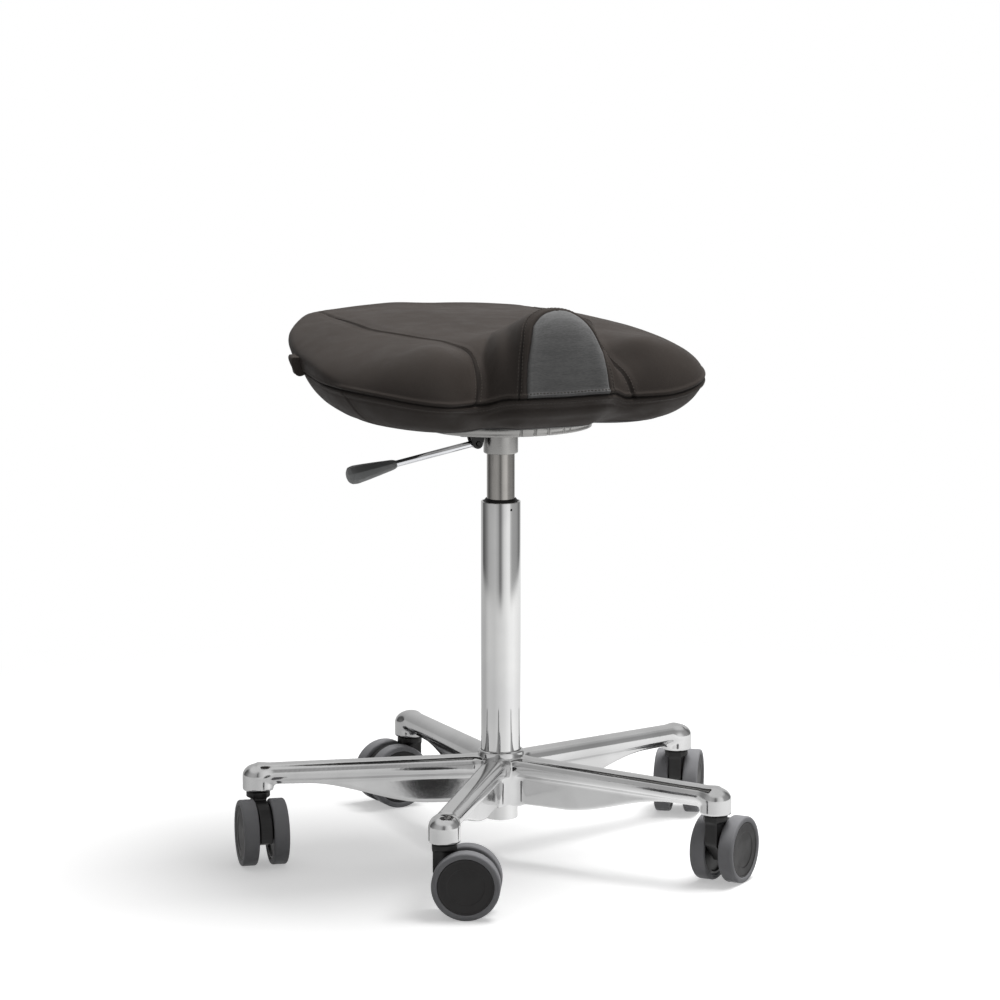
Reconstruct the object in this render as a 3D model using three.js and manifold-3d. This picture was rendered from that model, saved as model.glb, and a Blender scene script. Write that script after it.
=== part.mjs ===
// Saddle stool on a five-arm castor base, with a gas-lift column and a height lever.
// Millimetres, +Z up, origin on the floor under the column axis, the sitter faces -Y.
import * as THREE from "three";
import { mergeVertices } from "three/addons/utils/BufferGeometryUtils.js";
import Module from "manifold-3d";

const wasm = await Module();
wasm.setup();

// Driving dimensions
const STEM_CIRCLE_R = 245;
const BOSS_BOTTOM_Z = 72;
const HUB_BOTTOM_Z = 55;
const TUBE_TOP_Z = 362.5;
const TUBE_R = 19.8;
const CYLINDER_R = 14;
const LIFT_STROKE = 190;
const PLATE_BOTTOM_Z = 440;
const SEAT_BOTTOM_Z = 448.5;
const SEAT_HALF_WIDTH = 197;
const WHEEL_R = 33.2;
const WHEEL_W = 15.5;
const TRAIL = 21.5;

// Clearances
const SEAT_GAP = 0.3;
const RUN_GAP = 0.45;
const OVERRUN = 2;

// Castors
const ARM_COUNT = 5;
const FIRST_ARM_DEG = 90;
const CASTOR_TURN_DEGS = [185.3, 259.7, 333.7, 38.7, 56.7];
const HOUSING_W = 12.8;
const HOUSING_WALL = 3.2;
const HOUSING_RIB = 5;
const TOWER_WALL = 2;
const AXLE_BOSS_DEGS = [215, 300];
const HOUSING_FRONT_X = -11;
const HOUSING_CHIN_Z = 42;
const HOUSING_BACK_X = 11;
const HOOD_R = 30;
const HOOD_END_Z = 27.5;
const AXLE_BOSS_R = 13;
const AXLE_R = 4;
const AXLE_DEPTH = 9;
const FLANGE_R = 12;
const FLANGE_T = 6.2;
const FLANGE_BEVEL = 2;
const STEM_R = 5.2;
const STEM_NECK_R = 4.6;
const STEM_SHOULDER_R = 8;
const STEM_SHOULDER_T = 0.7;
const STEM_UP = 19;
const STEM_DOWN = 21;
const WHEEL_SPACING = 30.5;
const TYRE_T = 5.8;
const TYRE_ROUND = 3;
const TYRE_LIP = 0.8;

// Base star
const ARM_TIP_W = 24;
const ARM_ROOT_W = 26;
const ARM_TIP_H = 17;
const ARM_ROOT_H = 20;
const ARM_TIP_TOP_Z = 98.5;
const ARM_ROOT_TOP_Z = 104.5;
const ARM_STATION_SHARES = [0.04, 0.25, 0.5, 0.75, 1];
const ARM_SIDES = 12;
// How full the bar's section is across, above and below; 1 is an ellipse and less is squarer.
const ARM_FULLNESS = { across: 0.8, above: 0.85, below: 0.6 };
const BOSS_R = 15.6;
const BOSS_CROWN_H = 12;
const BOSS_SEGMENTS = 16;
const WEB_T = 9;
const WEB_TIP_DROP = 4;
const WEB_SWEEP_SHARES = [0.3, 0.8];
const WEB_STEPS = 8;
const HUB_R = 23.5;
const HUB_TOP_Z = 98;
const RING_TOP_Z = 109;
const RING_WALL = 1;
const RING_BULGE = 1.6;
const RING_BULGE_SHARES = [0.3, 0.75];
const EDGE = 1.5;

// Column
const TUBE_END_R = 17;
const TUBE_END_Z = 38.5;
const TAPER_TOP_Z = 111;
const TUBE_WALL = 1.8;
const FLOOR_PLATE_T = 4;
const FLOOR_PLATE_Z = 43;
const BUSH_LENGTH = 75;
const BUSH_RECESS = 1.2;
const ROD_R = 5;
const ROD_COLLAR_R = 8.5;
const ROD_COLLAR_T = 3;
const ROD_END_Z = 35.5;
const RACE_R = 12.5;
const RACE_T = 2;
const CAGE_T = 1.6;
const BALL_R = 1.9;
const BALL_COUNT = 8;
const BALL_CIRCLE_R = 9.2;
const BUFFER_R = 11;
const BUFFER_T = 26;
const CYLINDER_WALL = 1.5;
const CYLINDER_GUIDE_T = 15;
const CYLINDER_CAP_T = 11;
const CYLINDER_TOP_Z = 434.5;
const PISTON_T = 8;
const PISTON_HEAD_R = 7;
const PISTON_HEAD_T = 4;
const CLIP_GROOVE_R = 3.8;
const CLIP_R = 9;
const CLIP_T = 1.5;
const CLIP_MOUTH = 7;
const VALVE_R = 2;
const VALVE_HEAD_R = 2.8;
const VALVE_HEAD_T = 2.6;

// Seat plate and release lever
const PLATE_HALF_X = 83.5;
const PLATE_HALF_Y = 69;
const PLATE_CENTRE_Y = -23;
const PLATE_T = 8.2;
const PLATE_SKIN = 3.2;
const PLATE_RIM_W = 4;
const PLATE_RIB_W = 3.5;
const SOCKET_R = 17.3;
const SOCKET_BOTTOM_Z = 411;
const SCREW_INSET_X = 25.5;
const SCREW_INSET_Y = 47;
const SCREW_R = 3;
const SCREW_HEAD_R = 6;
const SCREW_HEAD_T = 3;
const SCREW_LENGTH = 11;
const SCREW_BOSS_R = 8;
const SLOT_W = 7;
const VALVE_WELL_R = 8.4;
const PLATE_SIDES = 32;
const PLATE_RIB_DEGS = [0, 60, 120];
const PIVOT_X = -27;
const PIVOT_Z = 422.5;
const PIN_R = 2;
const HANGER_HALF_X = 8;
const HANGER_HALF_Y = 8;
const LEVER_T = 5;
const LEVER_EYE_R = 5;
const LEVER_ROD_R = 3.3;
const LEVER_FINGER_H = 3.6;
const LEVER_NECK_X = -24;
const LEVER_NECK_W = 4;
const LEVER_DROP_DEG = 10.5;
const LEVER_TURN_DEG = 6;
const LEVER_ROOM = 2;
const GRIP_START = 87;
const GRIP_LENGTH = 52;
const GRIP_BORE_DEPTH = 32;
const GRIP_ROOT_R = 5;
// The grip's rings: how far along it each lies, and how thick and how wide it is there.
const GRIP_STATION_SHARES = [0, 0.06, 0.3, 0.6, 0.85, 0.96, 1];
const GRIP_THICK_SHARES = [0.7, 1, 1.25, 1.6, 1.85, 1.6, 0.9];
const GRIP_WIDE_SHARES = [0.75, 1.05, 1.45, 2, 2.3, 2, 1.1];
const GRIP_SIDES = 12;

// Seat
const SHELL_T = 6;
const SHELL_SHARE = 0.8;
const SEAT_AROUND = 56;
const FRONT_CROWDING = 0.45;
const CUSHION_OUT = 12;
const SHELL_OUT = 3;
const CROWN_CENTRE_SHARE = 0.06;
const UNDER_RING_SHARES = [0.88, 0.96];
const FLANK_SHARES = [1, 0.5];
const SHELL_LIP = 0.2;

// The seat's outline, seen from above, as shares of its half width at angles from the front.
const OUTLINE_DEGS = [0, 9, 16.5, 24, 31.2, 39, 50, 65, 84, 100, 121, 136, 155, 180];
const OUTLINE_SHARES = [
  0.805, 0.815, 0.838, 0.782, 0.772, 0.955, 1.029, 1.026, 0.989, 0.969, 1.03, 1.102, 1.119, 1.017,
];
// Heights of the seam over the underside, as shares of the half width.
const SEAM_DEGS = [0, 20, 31, 58, 90, 121, 150, 180];
const SEAM_SHARES = [0.196, 0.195, 0.16, 0.209, 0.225, 0.248, 0.281, 0.307];
// How far the padding swells out past the seam, and how far above it that happens.
const BULGE_DEGS = [0, 31.2, 50, 65, 90, 121, 150, 180];
const BULGE_SHARES = [0, 0, 0, 0, 0.024, 0.045, 0.065, 0.052];
const SWELL_DEGS = [0, 31.2, 65, 90, 121, 150, 180];
const SWELL_SHARES = [0.01, 0.01, 0.01, 0.066, 0.098, 0.145, 0.155];
// How square the crown's shoulder is, from front to back.
const SHOULDER_DEGS = [0, 12, 19, 25, 33, 45, 90, 135, 180];
const SHOULDER_POWERS = [20, 18, 7.4, 9, 2.5, 5.7, 4.9, 4.6, 5.1];
const CROWN_HEIGHT_SHARE = 0.4422;
const CROWN_RISE_SHARES = {
  back: 0.0797,
  back2: -0.0914,
  side2: -0.0322,
  twist: -0.0077,
  side4: -0.0006,
  front2: 0.3315,
  frontSide: 0.2028,
};
const POMMEL_HEIGHT_SHARE = 0.1313;
const POMMEL_WIDTH_SHARE = 0.1949;
const POMMEL_BACK_SHARE = 0.0038;
const POMMEL_FRONT_SHARE = -0.6065;
const POMMEL_POWER = 2.4;
// The soft valleys beside the pommel.
const VALLEY_DEPTH_SHARE = 0.079;
const VALLEY_PLACE_SHARE = 0.3756;
const VALLEY_WIDTH_SHARE = 0.1015;
const VALLEY_BACK_SHARE = -0.1523;
const VALLEY_FRONT_SHARE = -0.6091;
const CROWN_POWER = 1.26;
const UNDER_POWER = 7.31;
const UNDER_FOLD = 1.48;

const RAD = Math.PI / 180;
const SMALL_SEGMENTS = 12;
const MEDIUM_SEGMENTS = 16;
const ROUND_SEGMENTS = 24;
const WHEEL_SEGMENTS = 18;

// Geometry helpers

function solidOf(geometry) {
  const bare = geometry.index ? geometry.toNonIndexed() : geometry.clone();
  bare.deleteAttribute("normal");
  bare.deleteAttribute("uv");
  const merged = mergeVertices(bare, 1e-4);
  const places = merged.getAttribute("position").array;
  const corners = merged.index.array;
  const kept = [];
  let volume = 0;
  const a = new THREE.Vector3();
  const b = new THREE.Vector3();
  const c = new THREE.Vector3();
  for (let i = 0; i < corners.length; i += 3) {
    const [p, q, r] = [corners[i], corners[i + 1], corners[i + 2]];
    if (p === q || q === r || r === p) continue;
    kept.push(p, q, r);
    a.fromArray(places, p * 3);
    b.fromArray(places, q * 3);
    c.fromArray(places, r * 3);
    volume += a.dot(b.cross(c));
  }
  if (volume < 0) {
    for (let i = 0; i < kept.length; i += 3) [kept[i], kept[i + 1]] = [kept[i + 1], kept[i]];
  }
  return new wasm.Manifold(
    new wasm.Mesh({
      numProp: 3,
      vertProperties: new Float32Array(places),
      triVerts: new Uint32Array(kept),
    }),
  );
}

function geometryOf(solid) {
  const mesh = solid.getMesh();
  const geometry = new THREE.BufferGeometry();
  geometry.setAttribute("position", new THREE.BufferAttribute(mesh.vertProperties, 3));
  geometry.setIndex(new THREE.BufferAttribute(mesh.triVerts, 1));
  geometry.computeVertexNormals();
  return geometry;
}

// A body of revolution about Z, from a list of [radius, height].
function turned(profile, segments = ROUND_SEGMENTS) {
  const points = profile.map(([r, z]) => new THREE.Vector2(r, z));
  const geometry = new THREE.LatheGeometry(points, segments);
  geometry.rotateX(Math.PI / 2);
  return solidOf(geometry);
}

// A closed ring profile, which repeats its first point.
function ring(innerR, outerR, lowZ, highZ, segments = ROUND_SEGMENTS) {
  return turned(
    [
      [innerR, lowZ],
      [outerR, lowZ],
      [outerR, highZ],
      [innerR, highZ],
      [innerR, lowZ],
    ],
    segments,
  );
}

function rod(radius, lowZ, highZ, segments = SMALL_SEGMENTS) {
  return turned(
    [
      [0, lowZ],
      [radius, lowZ],
      [radius, highZ],
      [0, highZ],
    ],
    segments,
  );
}

function box(lowX, highX, lowY, highY, lowZ, highZ) {
  const geometry = new THREE.BoxGeometry(highX - lowX, highY - lowY, highZ - lowZ);
  geometry.translate((lowX + highX) / 2, (lowY + highY) / 2, (lowZ + highZ) / 2);
  return solidOf(geometry);
}

// An outline in X and Z, extruded along Y about the plane Y = 0.
function sideways(shape, width, curveSegments = 6) {
  const geometry = new THREE.ExtrudeGeometry(shape, { depth: width, bevelEnabled: false, curveSegments });
  geometry.translate(0, 0, -width / 2);
  geometry.rotateX(Math.PI / 2);
  return solidOf(geometry);
}

function spread(p, q) {
  return Math.hypot(p[0] - q[0], p[1] - q[1], p[2] - q[2]);
}

// A solid through rings of points, each ring the same length, closed by a fan at both ends.
// Each quad between two rings is split along its shorter diagonal.
function lofted(rings) {
  const count = rings[0].length;
  const places = rings.flat().flatMap((p) => p);
  const centre = (loop) => [0, 1, 2].map((k) => loop.reduce((sum, p) => sum + p[k], 0) / count);
  places.push(...centre(rings[0]), ...centre(rings[rings.length - 1]));
  const first = rings.length * count;
  const corners = [];
  for (let j = 0; j < count; j += 1) {
    const k = (j + 1) % count;
    for (let i = 0; i < rings.length - 1; i += 1) {
      const a = i * count;
      const b = a + count;
      const rising = spread(rings[i][j], rings[i + 1][k]);
      const falling = spread(rings[i][k], rings[i + 1][j]);
      if (rising < falling) corners.push(a + j, a + k, b + k, a + j, b + k, b + j);
      else corners.push(a + j, a + k, b + j, a + k, b + k, b + j);
    }
    const last = (rings.length - 1) * count;
    corners.push(first, k, j, first + 1, last + j, last + k);
  }
  const geometry = new THREE.BufferGeometry();
  geometry.setAttribute("position", new THREE.BufferAttribute(new Float32Array(places), 3));
  geometry.setIndex(corners);
  return solidOf(geometry);
}

function shapeOf(points) {
  return new THREE.Shape(points.map(([x, y]) => new THREE.Vector2(x, y)));
}

function mix(a, b, share) {
  return a + (b - a) * share;
}

function smooth(from, to, value) {
  const t = Math.min(Math.max((value - from) / (to - from), 0), 1);
  return t * t * (3 - 2 * t);
}

function arcPoints(x, y, radius, fromDeg, toDeg, steps) {
  return Array.from({ length: steps + 1 }, (_, i) => {
    const angle = mix(fromDeg, toDeg, i / steps) * RAD;
    return [x + radius * Math.cos(angle), y + radius * Math.sin(angle)];
  });
}

function finish(color, roughness, metalness) {
  return new THREE.MeshStandardMaterial({ color, roughness, metalness });
}

const polished = () => finish(0xc8c9cb, 0.12, 1);
const steel = () => finish(0x9a9b9d, 0.35, 1);
const blackPlastic = () => finish(0x1d1c1c, 0.55, 0);
const greyTyre = () => finish(0x55565a, 0.8, 0);
const leather = () => finish(0x3a3430, 0.5, 0);
const rubber = () => finish(0x202022, 0.9, 0);

const stool = new THREE.Group();

function place(parent, name, solid, material) {
  const mesh = new THREE.Mesh(geometryOf(solid), material);
  mesh.name = name;
  parent.add(mesh);
  return mesh;
}

// Base star: a cast hub with five arms, each a rounded bar over a thin web, ending in a stem boss.

function armBar() {
  const rings = ARM_STATION_SHARES.map((share) => {
    const r = STEM_CIRCLE_R * share;
    const halfW = mix(ARM_ROOT_W, ARM_TIP_W, share) / 2;
    const halfH = mix(ARM_ROOT_H, ARM_TIP_H, share) / 2;
    const middleZ = mix(ARM_ROOT_TOP_Z, ARM_TIP_TOP_Z, share) - halfH;
    return Array.from({ length: ARM_SIDES }, (_, j) => {
      const angle = (2 * Math.PI * (j + 0.5)) / ARM_SIDES;
      const across = Math.cos(angle);
      const up = Math.sin(angle);
      const y = halfW * Math.sign(across) * Math.pow(Math.abs(across), ARM_FULLNESS.across);
      const fullness = up > 0 ? ARM_FULLNESS.above : ARM_FULLNESS.below;
      return [r, y, middleZ + halfH * Math.sign(up) * Math.pow(Math.abs(up), fullness)];
    });
  });
  return lofted(rings);
}

function armBoss() {
  const crown = arcPoints(0, 0, 1, 90, 0, 4).map(([x, y]) => [
    BOSS_R * x,
    ARM_TIP_TOP_Z - BOSS_CROWN_H * (1 - y),
  ]);
  const wall = [
    [BOSS_R, BOSS_BOTTOM_Z + EDGE / 2],
    [BOSS_R - EDGE / 2, BOSS_BOTTOM_Z],
    [0, BOSS_BOTTOM_Z],
  ];
  return turned([...crown, ...wall], BOSS_SEGMENTS).translate([STEM_CIRCLE_R, 0, 0]);
}

// The web hangs level near the hub, sweeps up and runs out just under the bar at the boss.
function armWeb() {
  const tipZ = ARM_TIP_TOP_Z - ARM_TIP_H - WEB_TIP_DROP;
  const [sweepStart, sweepEnd] = WEB_SWEEP_SHARES;
  const lower = Array.from({ length: WEB_STEPS + 1 }, (_, i) => {
    const share = mix(sweepStart, sweepEnd, i / WEB_STEPS);
    return [STEM_CIRCLE_R * share, mix(HUB_BOTTOM_Z, tipZ, smooth(sweepStart, sweepEnd, share))];
  });
  const topZ = ARM_TIP_TOP_Z - ARM_TIP_H / 2;
  const outline = [
    [HUB_R / 2, topZ],
    [HUB_R / 2, HUB_BOTTOM_Z],
    ...lower,
    [STEM_CIRCLE_R, tipZ],
    [STEM_CIRCLE_R, topZ],
  ];
  return sideways(shapeOf(outline), WEB_T);
}

function hubBody() {
  const ringR = TUBE_R + RUN_GAP + RING_WALL;
  const [bulgeLow, bulgeHigh] = RING_BULGE_SHARES.map((share) => mix(HUB_TOP_Z, RING_TOP_Z, share));
  return turned(
    [
      [0, HUB_BOTTOM_Z],
      [HUB_R - EDGE, HUB_BOTTOM_Z],
      [HUB_R, HUB_BOTTOM_Z + EDGE],
      [HUB_R, HUB_TOP_Z],
      [ringR + RING_BULGE, bulgeLow],
      [ringR + RING_BULGE, bulgeHigh],
      [ringR, RING_TOP_Z],
      [0, RING_TOP_Z],
    ],
    ROUND_SEGMENTS,
  );
}

// The tube's outer radius at a height: a locking taper inside the hub, straight above it.
function tubeRadiusAt(z) {
  const share = Math.min(Math.max((z - HUB_BOTTOM_Z) / (TAPER_TOP_Z - HUB_BOTTOM_Z), 0), 1);
  return mix(TUBE_END_R, TUBE_R, share);
}

function hubBore() {
  return turned(
    [
      [0, HUB_BOTTOM_Z - OVERRUN],
      [tubeRadiusAt(HUB_BOTTOM_Z) + SEAT_GAP, HUB_BOTTOM_Z - OVERRUN],
      [tubeRadiusAt(HUB_BOTTOM_Z) + SEAT_GAP, HUB_BOTTOM_Z],
      [tubeRadiusAt(RING_TOP_Z) + SEAT_GAP, RING_TOP_Z],
      [tubeRadiusAt(RING_TOP_Z) + SEAT_GAP, RING_TOP_Z + OVERRUN],
      [0, RING_TOP_Z + OVERRUN],
    ],
    ROUND_SEGMENTS,
  );
}

function baseStar() {
  const arm = armBar().add(armWeb()).add(armBoss());
  const socket = rod(STEM_R + SEAT_GAP, BOSS_BOTTOM_Z - OVERRUN, BOSS_BOTTOM_Z + STEM_UP + SEAT_GAP);
  const bored = arm.subtract(socket.translate([STEM_CIRCLE_R, 0, 0]));
  let star = hubBody();
  for (let i = 0; i < ARM_COUNT; i += 1) {
    star = star.add(bored.rotate([0, 0, FIRST_ARM_DEG + (i * 360) / ARM_COUNT]));
  }
  return star.subtract(hubBore());
}

place(stool, "base_star", baseStar(), polished());

// Castors: a twin-wheel castor in its own frame, swivel axis on Z, trailing towards +X.

const HOUSING_TOP_Z = BOSS_BOTTOM_Z - STEM_SHOULDER_T - SEAT_GAP;

function housingOutline(inset) {
  const hoodR = HOOD_R - inset;
  const endDeg = Math.asin((HOOD_END_Z + inset - WHEEL_R) / hoodR) / RAD;
  const frontX = HOUSING_FRONT_X + inset;
  const backX = HOUSING_BACK_X - inset;
  const startDeg = 180 - Math.acos((TRAIL - backX) / hoodR) / RAD;
  const bossR = AXLE_BOSS_R - inset;
  const topZ = HOUSING_TOP_Z - FLANGE_T + OVERRUN;
  return [
    [frontX, topZ],
    [frontX, HOUSING_CHIN_Z],
    ...arcPoints(TRAIL, WHEEL_R, bossR, ...AXLE_BOSS_DEGS, 3),
    [TRAIL + hoodR * Math.cos(endDeg * RAD), HOOD_END_Z + inset],
    ...arcPoints(TRAIL, WHEEL_R, hoodR, endDeg, startDeg, 6).slice(1),
    [backX, topZ],
  ];
}

function castorHousing() {
  const body = sideways(shapeOf(housingOutline(0)), HOUSING_W);
  const pocketDepth = (HOUSING_W - HOUSING_RIB) / 2;
  const pocket = sideways(shapeOf(housingOutline(HOUSING_WALL)), pocketDepth * 2);
  const tower = rod(STEM_NECK_R + SEAT_GAP + TOWER_WALL, WHEEL_R + AXLE_BOSS_R, HOUSING_TOP_Z);
  const axleBoss = rod(AXLE_R + HOUSING_WALL, -HOUSING_W / 2, HOUSING_W / 2).rotate([90, 0, 0]);
  const flange = turned(
    [
      [0, HOUSING_TOP_Z - FLANGE_T],
      [FLANGE_R - FLANGE_BEVEL, HOUSING_TOP_Z - FLANGE_T],
      [FLANGE_R, HOUSING_TOP_Z - FLANGE_T + FLANGE_BEVEL],
      [FLANGE_R, HOUSING_TOP_Z - FLANGE_BEVEL],
      [FLANGE_R - FLANGE_BEVEL, HOUSING_TOP_Z],
      [0, HOUSING_TOP_Z],
    ],
    SMALL_SEGMENTS,
  );
  const pocketY = HOUSING_RIB / 2 + pocketDepth;
  const flangeFoot = box(
    HOUSING_FRONT_X,
    HOUSING_BACK_X,
    -HOUSING_W / 2,
    HOUSING_W / 2,
    HOUSING_TOP_Z - FLANGE_T,
    HOUSING_TOP_Z - FLANGE_T + OVERRUN,
  );
  const bore = rod(STEM_NECK_R + SEAT_GAP, BOSS_BOTTOM_Z - STEM_DOWN - SEAT_GAP, BOSS_BOTTOM_Z);
  const axleHole = rod(AXLE_R + SEAT_GAP, -HOUSING_W, HOUSING_W).rotate([90, 0, 0]);
  return body
    .subtract(pocket.translate([0, pocketY, 0]))
    .subtract(pocket.translate([0, -pocketY, 0]))
    .add(flangeFoot)
    .add(tower)
    .add(axleBoss.translate([TRAIL, 0, WHEEL_R]))
    .add(flange)
    .subtract(bore)
    .subtract(axleHole.translate([TRAIL, 0, WHEEL_R]));
}

function castorStem() {
  const shoulderZ = BOSS_BOTTOM_Z - STEM_SHOULDER_T;
  return turned(
    [
      [0, BOSS_BOTTOM_Z - STEM_DOWN],
      [STEM_NECK_R, BOSS_BOTTOM_Z - STEM_DOWN],
      [STEM_NECK_R, shoulderZ],
      [STEM_SHOULDER_R, shoulderZ],
      [STEM_SHOULDER_R, BOSS_BOTTOM_Z],
      [STEM_R, BOSS_BOTTOM_Z],
      [STEM_R, BOSS_BOTTOM_Z + STEM_UP],
      [0, BOSS_BOTTOM_Z + STEM_UP],
    ],
    SMALL_SEGMENTS,
  );
}

const AXLE_HALF = HOUSING_W / 2 + AXLE_DEPTH;

function castorAxle() {
  return rod(AXLE_R, -AXLE_HALF, AXLE_HALF).rotate([90, 0, 0]).translate([TRAIL, 0, WHEEL_R]);
}

// A wheel in its own frame, turning about Z, with its outer face towards +Z.
const DISC_R = WHEEL_R - TYRE_T;
const WHEEL_INNER = -WHEEL_W / 2;
const WHEEL_OUTER = WHEEL_W / 2;

function wheelTyre() {
  const innerR = DISC_R + SEAT_GAP;
  return turned([
    [innerR, WHEEL_INNER],
    [WHEEL_R - TYRE_ROUND, WHEEL_INNER],
    [WHEEL_R, WHEEL_INNER + TYRE_ROUND],
    [WHEEL_R, WHEEL_OUTER - TYRE_ROUND],
    [WHEEL_R - TYRE_ROUND, WHEEL_OUTER],
    [innerR, WHEEL_OUTER],
    [innerR, WHEEL_INNER],
  ], WHEEL_SEGMENTS);
}

function wheelDisc() {
  const faceZ = WHEEL_OUTER - TYRE_LIP;
  const backZ = WHEEL_INNER + TYRE_LIP;
  const boreR = AXLE_R + RUN_GAP;
  const bossZ = HOUSING_W / 2 + SEAT_GAP - WHEEL_SPACING / 2;
  const bossR = boreR + HOUSING_WALL;
  const boreEndZ = AXLE_HALF + SEAT_GAP - WHEEL_SPACING / 2;
  return turned([
    [0, faceZ],
    [DISC_R, faceZ],
    [DISC_R, backZ],
    [bossR, backZ],
    [bossR, bossZ],
    [boreR, bossZ],
    [boreR, boreEndZ],
    [0, boreEndZ],
  ], WHEEL_SEGMENTS);
}

function addCastor(index) {
  const name = `castor_${index + 1}`;
  const armAngle = (FIRST_ARM_DEG + (index * 360) / ARM_COUNT) * RAD;
  const castor = new THREE.Group();
  castor.position.set(STEM_CIRCLE_R * Math.cos(armAngle), STEM_CIRCLE_R * Math.sin(armAngle), 0);
  castor.rotation.z = CASTOR_TURN_DEGS[index] * RAD;
  place(castor, `${name}_stem`, castorStem(), steel());
  place(castor, `${name}_housing`, castorHousing(), blackPlastic());
  place(castor, `${name}_axle`, castorAxle(), steel());
  for (const side of ["left", "right"]) {
    const wheel = new THREE.Group();
    const sign = side === "left" ? 1 : -1;
    wheel.position.set(TRAIL, (sign * WHEEL_SPACING) / 2, WHEEL_R);
    wheel.rotation.x = -sign * (Math.PI / 2);
    place(wheel, `${name}_${side}_disc`, wheelDisc(), blackPlastic());
    place(wheel, `${name}_${side}_tyre`, wheelTyre(), greyTyre());
    castor.add(wheel);
  }
  stool.add(castor);
}

for (let i = 0; i < ARM_COUNT; i += 1) addCastor(i);

// Column: the standing tube with its guide bush, and what stands on its floor plate.

const FLOOR_TOP_Z = FLOOR_PLATE_Z + FLOOR_PLATE_T;
const LOWER_RACE_TOP_Z = FLOOR_TOP_Z + RACE_T;
const BALL_Z = LOWER_RACE_TOP_Z + BALL_R;
const UPPER_RACE_Z = BALL_Z + BALL_R;
const COLLAR_Z = UPPER_RACE_Z + RACE_T;
const BUFFER_Z = COLLAR_Z + ROD_COLLAR_T;
const CYLINDER_END_Z = BUFFER_Z + BUFFER_T + SEAT_GAP;
const CYLINDER_BORE_R = CYLINDER_R - CYLINDER_WALL;
const VALVE_TRAVEL = (VALVE_HEAD_R - PIVOT_X) * Math.sin(LEVER_TURN_DEG * RAD);
const PISTON_Z = CYLINDER_END_Z + LIFT_STROKE + CYLINDER_GUIDE_T + SEAT_GAP;
const ROD_HOLE_R = ROD_R + RUN_GAP;

function columnTube() {
  const boreR = TUBE_R - TUBE_WALL;
  const lowBoreR = TUBE_END_R - TUBE_WALL;
  return turned([
    [ROD_HOLE_R, FLOOR_PLATE_Z],
    [lowBoreR, FLOOR_PLATE_Z],
    [lowBoreR, TUBE_END_Z],
    [TUBE_END_R - EDGE / 2, TUBE_END_Z],
    [TUBE_END_R, TUBE_END_Z + EDGE],
    [TUBE_END_R, HUB_BOTTOM_Z],
    [TUBE_R, TAPER_TOP_Z],
    [TUBE_R, TUBE_TOP_Z - EDGE],
    [TUBE_R - EDGE / 2, TUBE_TOP_Z],
    [boreR, TUBE_TOP_Z],
    [boreR, TAPER_TOP_Z + EDGE],
    [lowBoreR, HUB_BOTTOM_Z],
    [lowBoreR, FLOOR_TOP_Z],
    [ROD_HOLE_R, FLOOR_TOP_Z],
    [ROD_HOLE_R, FLOOR_PLATE_Z],
  ]);
}

function guideBush() {
  const topZ = TUBE_TOP_Z - BUSH_RECESS;
  const outerR = TUBE_R - TUBE_WALL - SEAT_GAP * 2;
  return ring(CYLINDER_R + RUN_GAP, outerR, topZ - BUSH_LENGTH, topZ, MEDIUM_SEGMENTS);
}

function bearingCage() {
  let cage = ring(
    ROD_HOLE_R + RUN_GAP,
    RACE_R,
    BALL_Z - CAGE_T / 2,
    BALL_Z + CAGE_T / 2,
    SMALL_SEGMENTS,
  );
  const ball = solidOf(new THREE.IcosahedronGeometry(BALL_R));
  for (let i = 0; i < BALL_COUNT; i += 1) {
    const angle = (i * 2 * Math.PI) / BALL_COUNT;
    const place = [BALL_CIRCLE_R * Math.cos(angle), BALL_CIRCLE_R * Math.sin(angle), BALL_Z];
    cage = cage.add(ball.translate(place));
  }
  return cage;
}

function pistonRod() {
  const headR = PISTON_HEAD_R;
  const pistonTopZ = PISTON_Z + PISTON_T;
  const clipZ = FLOOR_PLATE_Z - SEAT_GAP - CLIP_T;
  return turned(
    [
      [0, ROD_END_Z],
      [ROD_R, ROD_END_Z],
      [ROD_R, clipZ - SEAT_GAP / 2],
      [CLIP_GROOVE_R, clipZ - SEAT_GAP / 2],
      [CLIP_GROOVE_R, FLOOR_PLATE_Z - SEAT_GAP / 2],
      [ROD_R, FLOOR_PLATE_Z - SEAT_GAP / 2],
      [ROD_R, COLLAR_Z],
      [ROD_COLLAR_R, COLLAR_Z],
      [ROD_COLLAR_R, BUFFER_Z],
      [ROD_R, BUFFER_Z],
      [ROD_R, pistonTopZ],
      [headR, pistonTopZ],
      [headR, pistonTopZ + PISTON_HEAD_T],
      [0, pistonTopZ + PISTON_HEAD_T],
    ],
    SMALL_SEGMENTS,
  );
}

function retainingClip() {
  const topZ = FLOOR_PLATE_Z - SEAT_GAP;
  const disc = ring(CLIP_GROOVE_R + SEAT_GAP, CLIP_R, topZ - CLIP_T, topZ, MEDIUM_SEGMENTS);
  const mouth = box(
    0,
    CLIP_R + OVERRUN,
    -CLIP_MOUTH / 2,
    CLIP_MOUTH / 2,
    topZ - CLIP_T - OVERRUN,
    topZ + OVERRUN,
  );
  return disc.subtract(mouth);
}

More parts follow.
